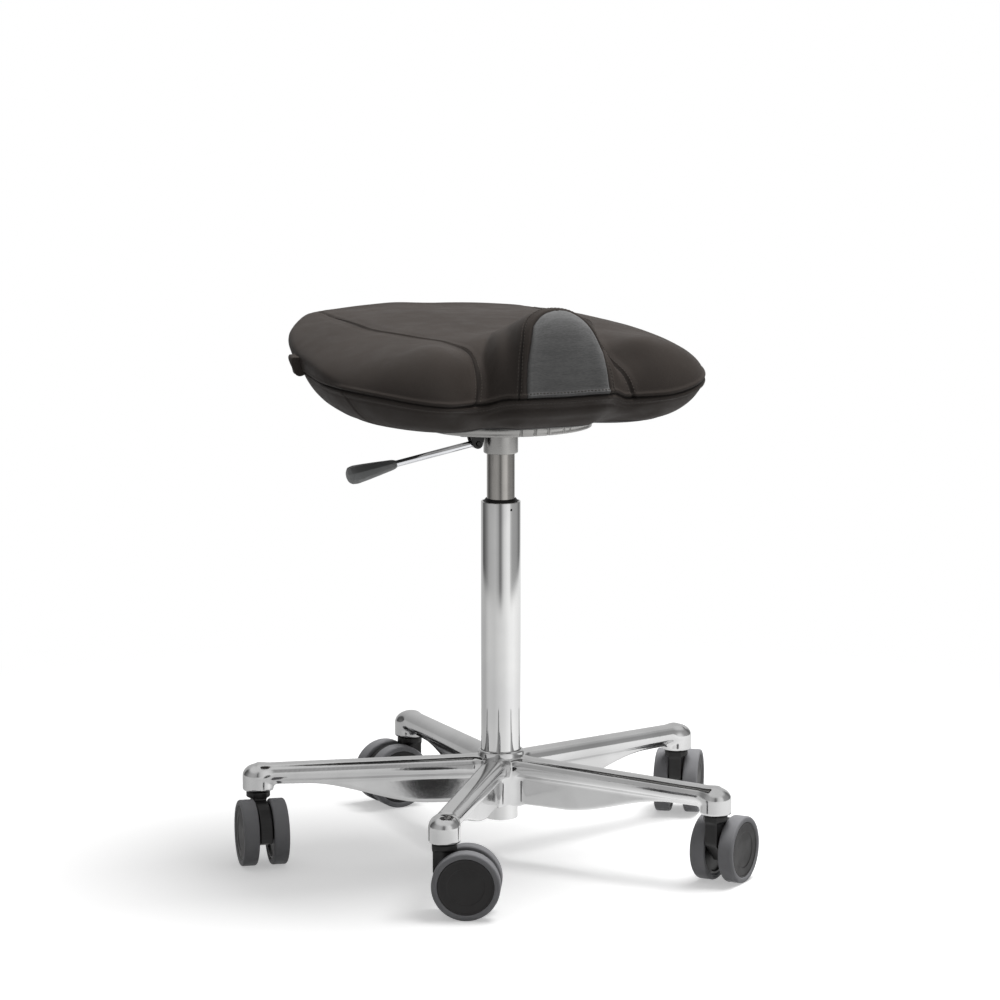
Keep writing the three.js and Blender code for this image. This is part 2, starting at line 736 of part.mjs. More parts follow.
function gasCylinder() {
  const boreLowZ = CYLINDER_END_Z + CYLINDER_GUIDE_T;
  const boreHighZ = CYLINDER_TOP_Z - CYLINDER_CAP_T;
  const valveR = VALVE_R + RUN_GAP;
  return turned([
    [ROD_HOLE_R, CYLINDER_END_Z],
    [CYLINDER_R - EDGE, CYLINDER_END_Z],
    [CYLINDER_R, CYLINDER_END_Z + EDGE],
    [CYLINDER_R, CYLINDER_TOP_Z - EDGE],
    [CYLINDER_R - EDGE, CYLINDER_TOP_Z],
    [valveR, CYLINDER_TOP_Z],
    [valveR, boreHighZ],
    [CYLINDER_BORE_R, boreHighZ],
    [CYLINDER_BORE_R, boreLowZ],
    [ROD_HOLE_R, boreLowZ],
    [ROD_HOLE_R, CYLINDER_END_Z],
  ]);
}

function valvePin() {
  const headZ = CYLINDER_TOP_Z + VALVE_TRAVEL + SEAT_GAP;
  const lowZ = CYLINDER_TOP_Z - CYLINDER_CAP_T;
  return turned(
    [
      [0, lowZ],
      [VALVE_R, lowZ],
      [VALVE_R, headZ],
      [VALVE_HEAD_R, headZ],
      [VALVE_HEAD_R, headZ + VALVE_HEAD_T],
      [0, headZ + VALVE_HEAD_T],
    ],
    SMALL_SEGMENTS,
  );
}

const VALVE_TOP_Z = CYLINDER_TOP_Z + VALVE_TRAVEL + SEAT_GAP + VALVE_HEAD_T;

place(stool, "column_tube", columnTube(), polished());
place(stool, "guide_bush", guideBush(), blackPlastic());
place(
  stool,
  "bearing_lower_race",
  ring(ROD_HOLE_R + RUN_GAP, RACE_R, FLOOR_TOP_Z, LOWER_RACE_TOP_Z - SEAT_GAP, MEDIUM_SEGMENTS),
  steel(),
);
place(stool, "bearing_cage", bearingCage(), steel());
place(
  stool,
  "bearing_upper_race",
  ring(ROD_R + SEAT_GAP, RACE_R, UPPER_RACE_Z + SEAT_GAP, COLLAR_Z, MEDIUM_SEGMENTS),
  steel(),
);
place(stool, "piston_rod", pistonRod(), steel());
place(
  stool,
  "piston_ring",
  ring(ROD_R + SEAT_GAP, CYLINDER_BORE_R - RUN_GAP, PISTON_Z, PISTON_Z + PISTON_T, MEDIUM_SEGMENTS),
  blackPlastic(),
);
place(
  stool,
  "rubber_buffer",
  ring(ROD_R + SEAT_GAP, BUFFER_R, BUFFER_Z, BUFFER_Z + BUFFER_T, MEDIUM_SEGMENTS),
  rubber(),
);
place(stool, "retaining_clip", retainingClip(), steel());
place(stool, "gas_cylinder", gasCylinder(), steel());
place(stool, "valve_pin", valvePin(), steel());

// Seat plate: a cast dish, open below, with a socket for the cylinder, ribs and screw bosses.

const PLATE_TOP_Z = PLATE_BOTTOM_Z + PLATE_T;
const PLATE_SKIN_Z = PLATE_TOP_Z - PLATE_SKIN;
const SCREW_X = PLATE_HALF_X - SCREW_INSET_X;
const SCREW_Y = PLATE_HALF_Y - SCREW_INSET_Y;
const SCREW_PLACES = [
  [-SCREW_X, PLATE_CENTRE_Y - SCREW_Y],
  [SCREW_X, PLATE_CENTRE_Y - SCREW_Y],
  [-SCREW_X, PLATE_CENTRE_Y + SCREW_Y],
  [SCREW_X, PLATE_CENTRE_Y + SCREW_Y],
];

function ovalDisc(inset, lowZ, highZ) {
  const disc = rod(1, lowZ, highZ, PLATE_SIDES);
  return disc.scale([PLATE_HALF_X - inset, PLATE_HALF_Y - inset, 1]).translate([0, PLATE_CENTRE_Y, 0]);
}

function plateRib(turnDeg) {
  const rib = box(
    -PLATE_HALF_X,
    PLATE_HALF_X,
    -PLATE_RIB_W / 2,
    PLATE_RIB_W / 2,
    PLATE_BOTTOM_Z,
    PLATE_SKIN_Z,
  );
  return rib.rotate([0, 0, turnDeg]).intersect(ovalDisc(PLATE_RIM_W / 2, PLATE_BOTTOM_Z, PLATE_TOP_Z));
}

function plateSocket() {
  return turned([
    [0, SOCKET_BOTTOM_Z],
    [SOCKET_R - EDGE, SOCKET_BOTTOM_Z],
    [SOCKET_R, SOCKET_BOTTOM_Z + EDGE],
    [SOCKET_R, PLATE_SKIN_Z],
    [0, PLATE_SKIN_Z],
  ]);
}

// The pad over the lever's hanger, which carries its pivot.
function hangerPad() {
  return box(
    PIVOT_X - HANGER_HALF_X - EDGE,
    0,
    -HANGER_HALF_Y - EDGE,
    HANGER_HALF_Y + EDGE,
    PLATE_BOTTOM_Z,
    PLATE_SKIN_Z,
  );
}

// The slot that the crank's neck and finger work in, open to the valve's well.
function leverSlot() {
  return box(
    LEVER_NECK_X - LEVER_NECK_W - LEVER_ROOM * 2,
    VALVE_WELL_R / 2,
    -SLOT_W / 2,
    SLOT_W / 2,
    PLATE_BOTTOM_Z - OVERRUN,
    PLATE_TOP_Z + OVERRUN,
  );
}

function seatPlate() {
  const hollow = ovalDisc(PLATE_RIM_W, PLATE_BOTTOM_Z - OVERRUN, PLATE_SKIN_Z);
  let plate = ovalDisc(0, PLATE_BOTTOM_Z, PLATE_TOP_Z).subtract(hollow);
  for (const turnDeg of PLATE_RIB_DEGS) plate = plate.add(plateRib(turnDeg));
  for (const [x, y] of SCREW_PLACES) {
    plate = plate.add(rod(SCREW_BOSS_R, PLATE_BOTTOM_Z, PLATE_SKIN_Z).translate([x, y, 0]));
  }
  const cylinderTopZ = CYLINDER_TOP_Z + SEAT_GAP;
  plate = plate
    .add(hangerPad())
    .add(plateSocket())
    .subtract(rod(CYLINDER_R + SEAT_GAP, SOCKET_BOTTOM_Z - OVERRUN, cylinderTopZ, ROUND_SEGMENTS))
    .subtract(rod(VALVE_WELL_R, CYLINDER_TOP_Z - OVERRUN, PLATE_TOP_Z + OVERRUN))
    .subtract(leverSlot());
  for (const [x, y] of SCREW_PLACES) {
    const hole = rod(SCREW_R + SEAT_GAP, PLATE_BOTTOM_Z - OVERRUN, PLATE_TOP_Z + OVERRUN);
    plate = plate.subtract(hole.translate([x, y, 0]));
  }
  return plate;
}

function seatScrew() {
  return turned(
    [
      [0, PLATE_BOTTOM_Z - SCREW_HEAD_T],
      [SCREW_HEAD_R - EDGE, PLATE_BOTTOM_Z - SCREW_HEAD_T],
      [SCREW_HEAD_R, PLATE_BOTTOM_Z - SCREW_HEAD_T + EDGE],
      [SCREW_HEAD_R, PLATE_BOTTOM_Z],
      [SCREW_R, PLATE_BOTTOM_Z],
      [SCREW_R, PLATE_BOTTOM_Z + SCREW_LENGTH],
      [0, PLATE_BOTTOM_Z + SCREW_LENGTH],
    ],
    SMALL_SEGMENTS,
  );
}

place(stool, "seat_plate", seatPlate(), polished());
SCREW_PLACES.forEach(([x, y], i) => {
  place(stool, `seat_screw_${i + 1}`, seatScrew().translate([x, y, 0]), steel());
});

// Release lever: a flat crank on a pin in the hanger, its finger over the valve, with rod and grip.

function leverHanger() {
  const sideX = HANGER_HALF_X;
  const outline = [
    [PIVOT_X - sideX, PLATE_BOTTOM_Z],
    ...arcPoints(PIVOT_X, PIVOT_Z, sideX, 180, 360, 6),
    [PIVOT_X + sideX, PLATE_BOTTOM_Z],
  ];
  const block = sideways(shapeOf(outline), HANGER_HALF_Y * 2);
  const slotHalf = LEVER_T / 2 + RUN_GAP;
  const slot = box(
    PIVOT_X - sideX - OVERRUN,
    PIVOT_X + sideX + OVERRUN,
    -slotHalf,
    slotHalf,
    PIVOT_Z - sideX - OVERRUN,
    PLATE_BOTTOM_Z - EDGE,
  );
  const neckSlot = box(
    LEVER_NECK_X - LEVER_ROOM - RUN_GAP,
    PIVOT_X + sideX + OVERRUN,
    -slotHalf,
    slotHalf,
    PIVOT_Z,
    PLATE_BOTTOM_Z + OVERRUN,
  );
  const rodSlot = rod(LEVER_ROD_R + RUN_GAP * 2, 0, sideX + LEVER_ROD_R + OVERRUN)
    .rotate([0, -90 - LEVER_DROP_DEG, 0])
    .translate([PIVOT_X, 0, PIVOT_Z]);
  const holeHalf = HANGER_HALF_Y + OVERRUN;
  const hole = rod(PIN_R + SEAT_GAP, -holeHalf, holeHalf).rotate([90, 0, 0]);
  return block
    .subtract(slot)
    .subtract(neckSlot)
    .subtract(rodSlot)
    .subtract(hole.translate([PIVOT_X, 0, PIVOT_Z]));
}

const FINGER_LOW_Z = VALVE_TOP_Z + SEAT_GAP;
const ROD_START = LEVER_EYE_R + LEVER_ROOM;

function releaseLever() {
  const fingerTopZ = FINGER_LOW_Z + LEVER_FINGER_H;
  const neckHighX = LEVER_NECK_X + LEVER_NECK_W;
  const outline = [
    [PIVOT_X, PIVOT_Z - LEVER_EYE_R],
    ...arcPoints(PIVOT_X, PIVOT_Z, LEVER_EYE_R, -60, 30, 3),
    [neckHighX, PIVOT_Z + LEVER_EYE_R],
    [neckHighX, FINGER_LOW_Z],
    [VALVE_HEAD_R + EDGE / 2, FINGER_LOW_Z],
    [VALVE_HEAD_R + EDGE, FINGER_LOW_Z + LEVER_FINGER_H / 2],
    [VALVE_HEAD_R, fingerTopZ],
    [LEVER_NECK_X + EDGE, fingerTopZ],
    [LEVER_NECK_X, fingerTopZ - EDGE],
    [LEVER_NECK_X, PIVOT_Z + LEVER_EYE_R],
    ...arcPoints(PIVOT_X, PIVOT_Z, LEVER_EYE_R, 100, 240, 5),
  ];
  const crank = sideways(shapeOf(outline), LEVER_T);
  const bar = rod(LEVER_ROD_R, 0, GRIP_START + GRIP_BORE_DEPTH - SEAT_GAP)
    .rotate([0, -90 - LEVER_DROP_DEG, 0])
    .translate([PIVOT_X, 0, PIVOT_Z]);
  const eyeHalf = LEVER_T / 2 + OVERRUN;
  const eye = rod(PIN_R + SEAT_GAP, -eyeHalf, eyeHalf).rotate([90, 0, 0]);
  const pinRoom = box(
    PIVOT_X - ROD_START,
    PIVOT_X + OVERRUN + LEVER_ROD_R,
    LEVER_T / 2,
    LEVER_T,
    PIVOT_Z - LEVER_EYE_R * 2,
    PIVOT_Z + LEVER_EYE_R,
  );
  return crank
    .add(bar.subtract(pinRoom).subtract(pinRoom.mirror([0, 1, 0])))
    .subtract(eye.translate([PIVOT_X, 0, PIVOT_Z]));
}

// The grip is a paddle that swells towards its round outer end.
function leverGrip() {
  const rings = GRIP_STATION_SHARES.map((share, i) =>
    Array.from({ length: GRIP_SIDES }, (_, j) => {
      const angle = (j * 2 * Math.PI) / GRIP_SIDES;
      return [
        GRIP_ROOT_R * GRIP_THICK_SHARES[i] * Math.cos(angle),
        GRIP_ROOT_R * GRIP_WIDE_SHARES[i] * Math.sin(angle),
        GRIP_START + GRIP_LENGTH * share,
      ];
    }),
  );
  const bore = rod(LEVER_ROD_R + SEAT_GAP, 0, GRIP_START + GRIP_BORE_DEPTH);
  return lofted(rings)
    .subtract(bore)
    .rotate([0, -90 - LEVER_DROP_DEG, 0])
    .translate([PIVOT_X, 0, PIVOT_Z]);
}

function leverPin() {
  return rod(PIN_R, -HANGER_HALF_Y, HANGER_HALF_Y).rotate([90, 0, 0]).translate([PIVOT_X, 0, PIVOT_Z]);
}

place(stool, "lever_hanger", leverHanger(), blackPlastic());
place(stool, "lever_pin", leverPin(), steel());
place(stool, "release_lever", releaseLever(), polished());
place(stool, "lever_grip", leverGrip(), blackPlastic());

// Seat: a moulded shell inside the underside of a padded saddle with a raised pommel.

// A smooth closed curve through values set at angles from the front, mirrored left to right.
function aroundCurve(degs, values) {
  const inner = degs.map((deg, i) => [deg, values[i]]).filter(([deg]) => deg > 0 && deg < 180);
  const mirrored = inner.reverse().map(([deg, v]) => [360 - deg, v]);
  const keys = degs.map((deg, i) => [deg, values[i]]).concat(mirrored);
  const count = keys.length;
  const at = (i) => {
    const lap = Math.floor(i / count);
    const [deg, v] = keys[i - lap * count];
    return [deg + 360 * lap, v];
  };
  const slope = (i) => {
    const [d0, v0] = at(i - 1);
    const [d1, v1] = at(i + 1);
    return (v1 - v0) / (d1 - d0);
  };
  return (deg) => {
    const wrapped = ((deg % 360) + 360) % 360;
    let i = 0;
    while (i < count - 1 && at(i + 1)[0] <= wrapped) i += 1;
    const [d0, v0] = at(i);
    const [d1, v1] = at(i + 1);
    const span = d1 - d0;
    const t = (wrapped - d0) / span;
    const t2 = t * t;
    const t3 = t2 * t;
    return (
      (2 * t3 - 3 * t2 + 1) * v0 +
      (t3 - 2 * t2 + t) * span * slope(i) +
      (3 * t2 - 2 * t3) * v1 +
      (t3 - t2) * span * slope(i + 1)
    );
  };
}

const outlineShareAt = aroundCurve(OUTLINE_DEGS, OUTLINE_SHARES);
const seamShareAt = aroundCurve(SEAM_DEGS, SEAM_SHARES);
const bulgeShareAt = aroundCurve(BULGE_DEGS, BULGE_SHARES);
const swellShareAt = aroundCurve(SWELL_DEGS, SWELL_SHARES);
const shoulderPowerAt = aroundCurve(SHOULDER_DEGS, SHOULDER_POWERS);

function crownHeight(x, y) {
  const u = x / SEAT_HALF_WIDTH;
  const v = y / SEAT_HALF_WIDTH;
  const front = Math.min(v, 0) ** 2;
  const k = CROWN_RISE_SHARES;
  const bowl =
    CROWN_HEIGHT_SHARE +
    k.back * v +
    k.back2 * v * v +
    k.side2 * u * u +
    k.twist * u * u * v +
    k.side4 * u ** 4 +
    k.front2 * front +
    k.frontSide * front * u * u;
  const ridge =
    POMMEL_HEIGHT_SHARE *
    Math.exp(-((Math.abs(u) / POMMEL_WIDTH_SHARE) ** POMMEL_POWER)) *
    smooth(POMMEL_BACK_SHARE, POMMEL_FRONT_SHARE, v);
  const valley =
    VALLEY_DEPTH_SHARE *
    Math.exp(-(((Math.abs(u) - VALLEY_PLACE_SHARE) / VALLEY_WIDTH_SHARE) ** 2)) *
    smooth(VALLEY_BACK_SHARE, VALLEY_FRONT_SHARE, v);
  return SEAT_BOTTOM_Z + SEAT_HALF_WIDTH * (bowl + ridge - valley);
}

function outward(deg, share) {
  const radius = SEAT_HALF_WIDTH * share;
  return [radius * Math.sin(deg * RAD), -radius * Math.cos(deg * RAD)];
}

function bulgeAt(deg) {
  return Math.max(bulgeShareAt(deg), 0);
}

function seamZ(deg) {
  return SEAT_BOTTOM_Z + SEAT_HALF_WIDTH * seamShareAt(deg);
}

function widestZ(deg) {
  return seamZ(deg) + SEAT_HALF_WIDTH * swellShareAt(deg);
}

function crownPoint(deg, share) {
  const [x, y] = outward(deg, share * (outlineShareAt(deg) + bulgeAt(deg)));
  const fall = Math.pow(Math.max(1 - Math.pow(share, shoulderPowerAt(deg)), 0), 1 / CROWN_POWER);
  return [x, y, mix(widestZ(deg), crownHeight(x, y), fall)];
}

function flankPoint(deg, share) {
  const turn = (share * Math.PI) / 2;
  const [x, y] = outward(deg, outlineShareAt(deg) + bulgeAt(deg) * Math.cos(turn));
  return [x, y, mix(widestZ(deg), seamZ(deg), Math.sin(turn))];
}

function underPoint(deg, share, lift = 0) {
  const [x, y] = outward(deg, share * outlineShareAt(deg));
  const flat = Math.pow(Math.max(1 - Math.pow(share, UNDER_POWER), 0), 1 / UNDER_FOLD);
  return [x, y, mix(seamZ(deg), SEAT_BOTTOM_Z, flat) + lift];
}

// A closed skin through rings, each a function from angle to point, starting and ending at the
// middle. Its points lie closer together round the front, where the outline has its corners.
function seatSkin(rings) {
  const rows = rings.map((pointAt) =>
    Array.from({ length: SEAT_AROUND }, (_, j) => {
      const turn = (2 * Math.PI * j) / SEAT_AROUND;
      return pointAt((turn - FRONT_CROWDING * Math.sin(turn)) / RAD);
    }),
  );
  return lofted(rows);
}

function shellRing(i, lift) {
  return (deg) => underPoint(deg, (SHELL_SHARE * i) / SHELL_OUT, lift);
}

function seatCushion() {
  const roof = SHELL_T + SEAT_GAP;
  const lip = SHELL_SHARE + (SEAT_GAP * 2) / SEAT_HALF_WIDTH;
  const lipFoot = lip + SHELL_LIP / SEAT_HALF_WIDTH;
  const recess = Array.from({ length: SHELL_OUT - 1 }, (_, i) => shellRing(i + 1, roof));
  const lipRing = (deg) => underPoint(deg, lip, roof);
  const under = [lipFoot, ...UNDER_RING_SHARES].map((share) => (deg) => underPoint(deg, share));
  const flank = FLANK_SHARES.map((share) => (deg) => flankPoint(deg, share));
  const crown = Array.from({ length: CUSHION_OUT }, (_, i) => {
    const share = Math.sin((Math.PI / 2) * (1 - i / CUSHION_OUT));
    return (deg) => crownPoint(deg, share);
  });
  const middle = (deg) => crownPoint(deg, CROWN_CENTRE_SHARE);
  return seatSkin([...recess, lipRing, ...under, ...flank, ...crown, middle]);
}

function seatShell() {
  const rows = [];
  for (let i = 1; i <= SHELL_OUT; i += 1) rows.push(shellRing(i, 0));
  for (let i = SHELL_OUT; i >= 1; i -= 1) rows.push(shellRing(i, SHELL_T));
  let shell = seatSkin(rows);
  for (const [x, y] of SCREW_PLACES) {
    const hole = rod(SCREW_R + SEAT_GAP, SEAT_BOTTOM_Z - OVERRUN, SEAT_BOTTOM_Z + SHELL_T + OVERRUN);
    shell = shell.subtract(hole.translate([x, y, 0]));
  }
  return shell;
}

place(stool, "seat_shell", seatShell(), blackPlastic());
place(stool, "seat_cushion", seatCushion(), leather());

export default stool;
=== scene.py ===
import math

import bmesh
import bpy
import numpy as np
from mathutils import Matrix, Vector
from mathutils.bvhtree import BVHTree


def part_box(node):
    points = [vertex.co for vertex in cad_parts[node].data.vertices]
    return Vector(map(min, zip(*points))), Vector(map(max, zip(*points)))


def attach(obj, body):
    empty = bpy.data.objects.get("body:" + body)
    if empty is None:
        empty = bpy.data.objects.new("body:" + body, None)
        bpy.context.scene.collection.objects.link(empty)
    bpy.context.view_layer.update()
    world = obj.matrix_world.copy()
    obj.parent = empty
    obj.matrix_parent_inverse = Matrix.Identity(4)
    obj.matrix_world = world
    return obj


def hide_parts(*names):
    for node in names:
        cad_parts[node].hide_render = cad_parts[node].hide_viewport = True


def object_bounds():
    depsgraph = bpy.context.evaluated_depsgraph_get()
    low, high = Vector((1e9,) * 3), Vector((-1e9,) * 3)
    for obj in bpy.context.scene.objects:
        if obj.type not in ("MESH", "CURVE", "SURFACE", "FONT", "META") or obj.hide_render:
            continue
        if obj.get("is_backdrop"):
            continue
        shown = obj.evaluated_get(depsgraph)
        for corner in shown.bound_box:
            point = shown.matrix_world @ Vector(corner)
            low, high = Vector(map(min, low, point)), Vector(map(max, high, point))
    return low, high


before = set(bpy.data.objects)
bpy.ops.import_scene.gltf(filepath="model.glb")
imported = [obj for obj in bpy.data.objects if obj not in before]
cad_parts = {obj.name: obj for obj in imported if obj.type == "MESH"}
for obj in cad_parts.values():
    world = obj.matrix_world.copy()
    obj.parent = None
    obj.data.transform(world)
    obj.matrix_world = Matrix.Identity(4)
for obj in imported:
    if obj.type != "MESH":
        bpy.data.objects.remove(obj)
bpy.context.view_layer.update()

# Sizes are in millimetres, as in the part, and become metres when a mesh is made.
MM = 0.001

# Base star
STEM_CIRCLE_R = 245
ARM_COUNT = 5
FIRST_ARM_DEG = 90
ARM_ROOT_W, ARM_TIP_W = 26, 24
ARM_ROOT_H, ARM_TIP_H = 20, 17
ARM_ROOT_TOP_Z, ARM_TIP_TOP_Z = 104.5, 98.5
BOSS_R = 15.6
BOSS_BOTTOM_Z = 72
BOSS_CROWN_H = 12
STEM_SOCKET_R = 5.5
STEM_UP = 19
WEB_T = 9
WEB_TIP_Z = 77.5
WEB_SWEEP_SHARES = (0.3, 0.8)
HUB_R = 23.5
HUB_BOTTOM_Z, HUB_TOP_Z = 55, 98
RING_TOP_Z = 109
STAR_PITCH = 1.5

# Column
TUBE_END_R, TUBE_R = 17, 19.8
TUBE_END_Z, TUBE_TOP_Z = 38.5, 362.5
TAPER_TOP_Z = 111
TUBE_WALL = 1.8
FLOOR_Z, FLOOR_T = 43, 4
FLOOR_HOLE_R = 5.6
BUSH_RECESS, BUSH_LENGTH = 1.2, 75
CYLINDER_R = 14
CYLINDER_WALL = 1.5
SMALL_HOLE = (3.0, -19.56, 355.7)
SMALL_HOLE_R = 1.3

# Seat plate and lever
PLATE_HALF_X, PLATE_HALF_Y = 83.5, 69
PLATE_CENTRE_Y = -23
PLATE_BOTTOM_Z, PLATE_TOP_Z = 440, 448.2
PLATE_SKIN_Z = 445
PLATE_RIM_W = 4
PLATE_RIB_DEGS = (0, 60, 120)
PLATE_RIB_W = 3.5
RIM_NOTCH_DEGS = (-12, -2, 8, 21, 27, 168, 178, 188, 201, 207)
SOCKET_R = 17.3
SOCKET_BOTTOM_Z = 411
SCREW_PLACES = [(x, PLATE_CENTRE_Y + y) for x in (-58, 58) for y in (-22, 22)]
SCREW_BOSS_R = 8
PIVOT_X, PIVOT_Z = -27, 422.5
HANGER_HALF = 8
LEVER_DROP_DEG = 10.5
LEVER_ROD_R = 3.3
GRIP_START, GRIP_LENGTH = 87, 52
GRIP_ROOT_R = 5
GRIP_BORE_DEPTH = 32

# Castors
CASTOR_TURN_DEGS = (185.3, 259.7, 333.7, 38.7, 56.7)
TRAIL = 21.5
WHEEL_R = 33.2
WHEEL_W = 15.5
WHEEL_SPACING = 30.5
TYRE_T = 5.8
TYRE_ROUND = 3.4
HOUSING_W = 12.8
HOUSING_TOP_Z = 71
HOUSING_PITCH = 0.7
FLANGE_R, FLANGE_T = 12, 6.2

# Seat
SEAT_BOTTOM_Z = 448.5
SEAT_HALF_WIDTH = 197
SHELL_T = 6
SHELL_SHARE = 0.8
OUTLINE_DEGS = (0, 9, 16.5, 24, 31.2, 39, 50, 65, 84, 100, 121, 136, 155, 180)
OUTLINE_SHARES = (
    0.805, 0.815, 0.838, 0.782, 0.772, 0.955, 1.029,
    1.026, 0.989, 0.969, 1.03, 1.102, 1.119, 1.017,
)
SEAM_DEGS = (0, 20, 31, 58, 90, 121, 150, 180)
SEAM_SHARES = (0.196, 0.195, 0.16, 0.209, 0.225, 0.248, 0.281, 0.307)
BULGE_DEGS = (0, 31.2, 50, 65, 90, 121, 150, 180)
BULGE_SHARES = (0, 0, 0, 0, 0.024, 0.045, 0.065, 0.052)
SWELL_DEGS = (0, 31.2, 65, 90, 121, 150, 180)
SWELL_SHARES = (0.01, 0.01, 0.01, 0.066, 0.098, 0.145, 0.155)
SHOULDER_DEGS = (0, 12, 19, 25, 33, 45, 90, 135, 180)
SHOULDER_POWERS = (20, 18, 7.4, 9, 3.2, 5.7, 4.9, 4.6, 5.1)
CROWN_POWER = 1.26
UNDER_POWER = 7.31
UNDER_FOLD = 1.48
NOTCH_FILL = 11
NOTCH_DEG = 31
NOTCH_SPREAD = 7

def mix(a, b, t):
    return a + (b - a) * t


def smooth(low, high, value):
    t = np.clip((value - low) / (high - low), 0, 1)
    return t * t * (3 - 2 * t)


def bell(distance, width):
    return np.exp(-((distance / width) ** 2))


def lengths(vectors):
    return np.linalg.norm(vectors, axis=-1)


def unit(vectors):
    return vectors / np.maximum(lengths(vectors), 1e-9)[..., None]


def full_turn(count):
    """Angles all the way round, in radians."""
    return np.linspace(0, 2 * math.pi, count, endpoint=False)


def run_along(points):
    """Distance from the first point along each line of points."""
    steps = lengths(np.diff(points, axis=-2))
    return np.concatenate([np.zeros((*steps.shape[:-1], 1)), np.cumsum(steps, -1)], -1)


def points_at(marks, run, line):
    """Points of a line at marks along its run."""
    return np.stack([np.interp(marks, run, values) for values in line.T], -1)
# Mesh helpers


def mesh_object(name, points, faces, finish, sharp_deg=35, weld=False):
    """An object from millimetre points and faces, smooth but for edges sharper than sharp_deg."""
    mesh = bpy.data.meshes.new(name)
    mesh.from_pydata((np.asarray(points, float) * MM).tolist(), [], [tuple(f) for f in faces])
    if weld:
        work = bmesh.new()
        work.from_mesh(mesh)
        bmesh.ops.remove_doubles(work, verts=work.verts, dist=1e-7)
        bmesh.ops.dissolve_degenerate(work, edges=work.edges, dist=1e-7)
        bmesh.ops.recalc_face_normals(work, faces=work.faces)
        work.to_mesh(mesh)
        work.free()
    mesh.shade_smooth()
    if sharp_deg:
        mesh.set_sharp_from_angle(angle=math.radians(sharp_deg))
    mesh.materials.append(finish)
    piece = bpy.data.objects.new(name, mesh)
    bpy.context.scene.collection.objects.link(piece)
    return piece


def ring_faces(rows, sides, closed=False):
    """Quads of a grid of rows of points, each row a ring of so many sides."""
    faces = []
    for i in range(rows if closed else rows - 1):
        low, high = i * sides, ((i + 1) % rows) * sides
        for j in range(sides):
            k = (j + 1) % sides
            faces.append((low + j, low + k, high + k, high + j))
    return faces


def turned(profile, sides=96, closed=True):
    """Points and faces of a profile of (radius, height) turned about Z."""
    radius, height = np.array(profile, float).T[:, :, None]
    a = full_turn(sides)
    points = np.stack(np.broadcast_arrays(radius * np.cos(a), radius * np.sin(a), height), -1)
    return points.reshape(-1, 3), ring_faces(len(profile), sides, closed)


def rounded(corners, closed=True, steps=6):
    """An outline of (x, y, radius) corners with each corner rounded."""
    out = []
    count = len(corners)
    spots = np.array(corners, float)[:, :2]
    for i, (corner, radius) in enumerate(zip(spots, [c[2] for c in corners])):
        before, after = spots[i - 1] - corner, spots[(i + 1) % count] - corner
        reach = 0.499 * min(lengths(before), lengths(after))
        before, after = unit(before), unit(after)
        half = math.acos(np.clip(before @ after, -1, 1)) / 2
        is_end = not closed and i in (0, count - 1)
        if radius == 0 or is_end or half > math.radians(88):
            out.append(corner)
            continue
        cut = min(radius / math.tan(half), reach)
        radius = cut * math.tan(half)
        centre = corner + unit(before + after) * radius / math.sin(half)
        a0, a1 = (np.arctan2(*(corner + way * cut - centre)[::-1]) for way in (before, after))
        sweep = (a1 - a0 + math.pi) % (2 * math.pi) - math.pi
        for k in range(steps + 1):
            a = a0 + sweep * k / steps
            out.append(centre + radius * np.array((math.cos(a), math.sin(a))))
    return np.array(out)


def union(a, b, radius):
    """Two fields joined with a fillet."""
    share = np.clip(0.5 + 0.5 * (b - a) / radius, 0, 1)
    return b + (a - b) * share - radius * share * (1 - share)


def shared(a, b, radius):
    """The part inside both fields, with a rounded edge."""
    return -union(-a, -b, radius)


def carved(a, b, radius):
    """The first field without the second, with a rounded edge."""
    return shared(a, -b, radius)


def polygon_distance(x, y, corners):
    """Signed distance to a closed polygon, negative inside."""
    nearest = np.full(np.broadcast(x, y).shape, 1e9)
    inside = np.zeros(nearest.shape, bool)
    count = len(corners)
    for i in range(count):
        ax, ay = corners[i]
        bx, by = corners[(i + 1) % count]
        ex, ey = bx - ax, by - ay
        t = np.clip(((x - ax) * ex + (y - ay) * ey) / (ex * ex + ey * ey + 1e-12), 0, 1)
        nearest = np.minimum(nearest, np.hypot(x - ax - t * ex, y - ay - t * ey))
        if ay != by:
            crossing = ((ay > y) != (by > y)) & (x < (bx - ax) * (y - ay) / (by - ay) + ax)
            inside ^= crossing
    return np.where(inside, -nearest, nearest)


CELL_CORNERS = [(i, j, k) for i in (0, 1) for j in (0, 1) for k in (0, 1)]
CELL_EDGES = [
    (a, b)
    for a in CELL_CORNERS
    for b in CELL_CORNERS
    if a < b and sum(abs(p - q) for p, q in zip(a, b)) == 1
]


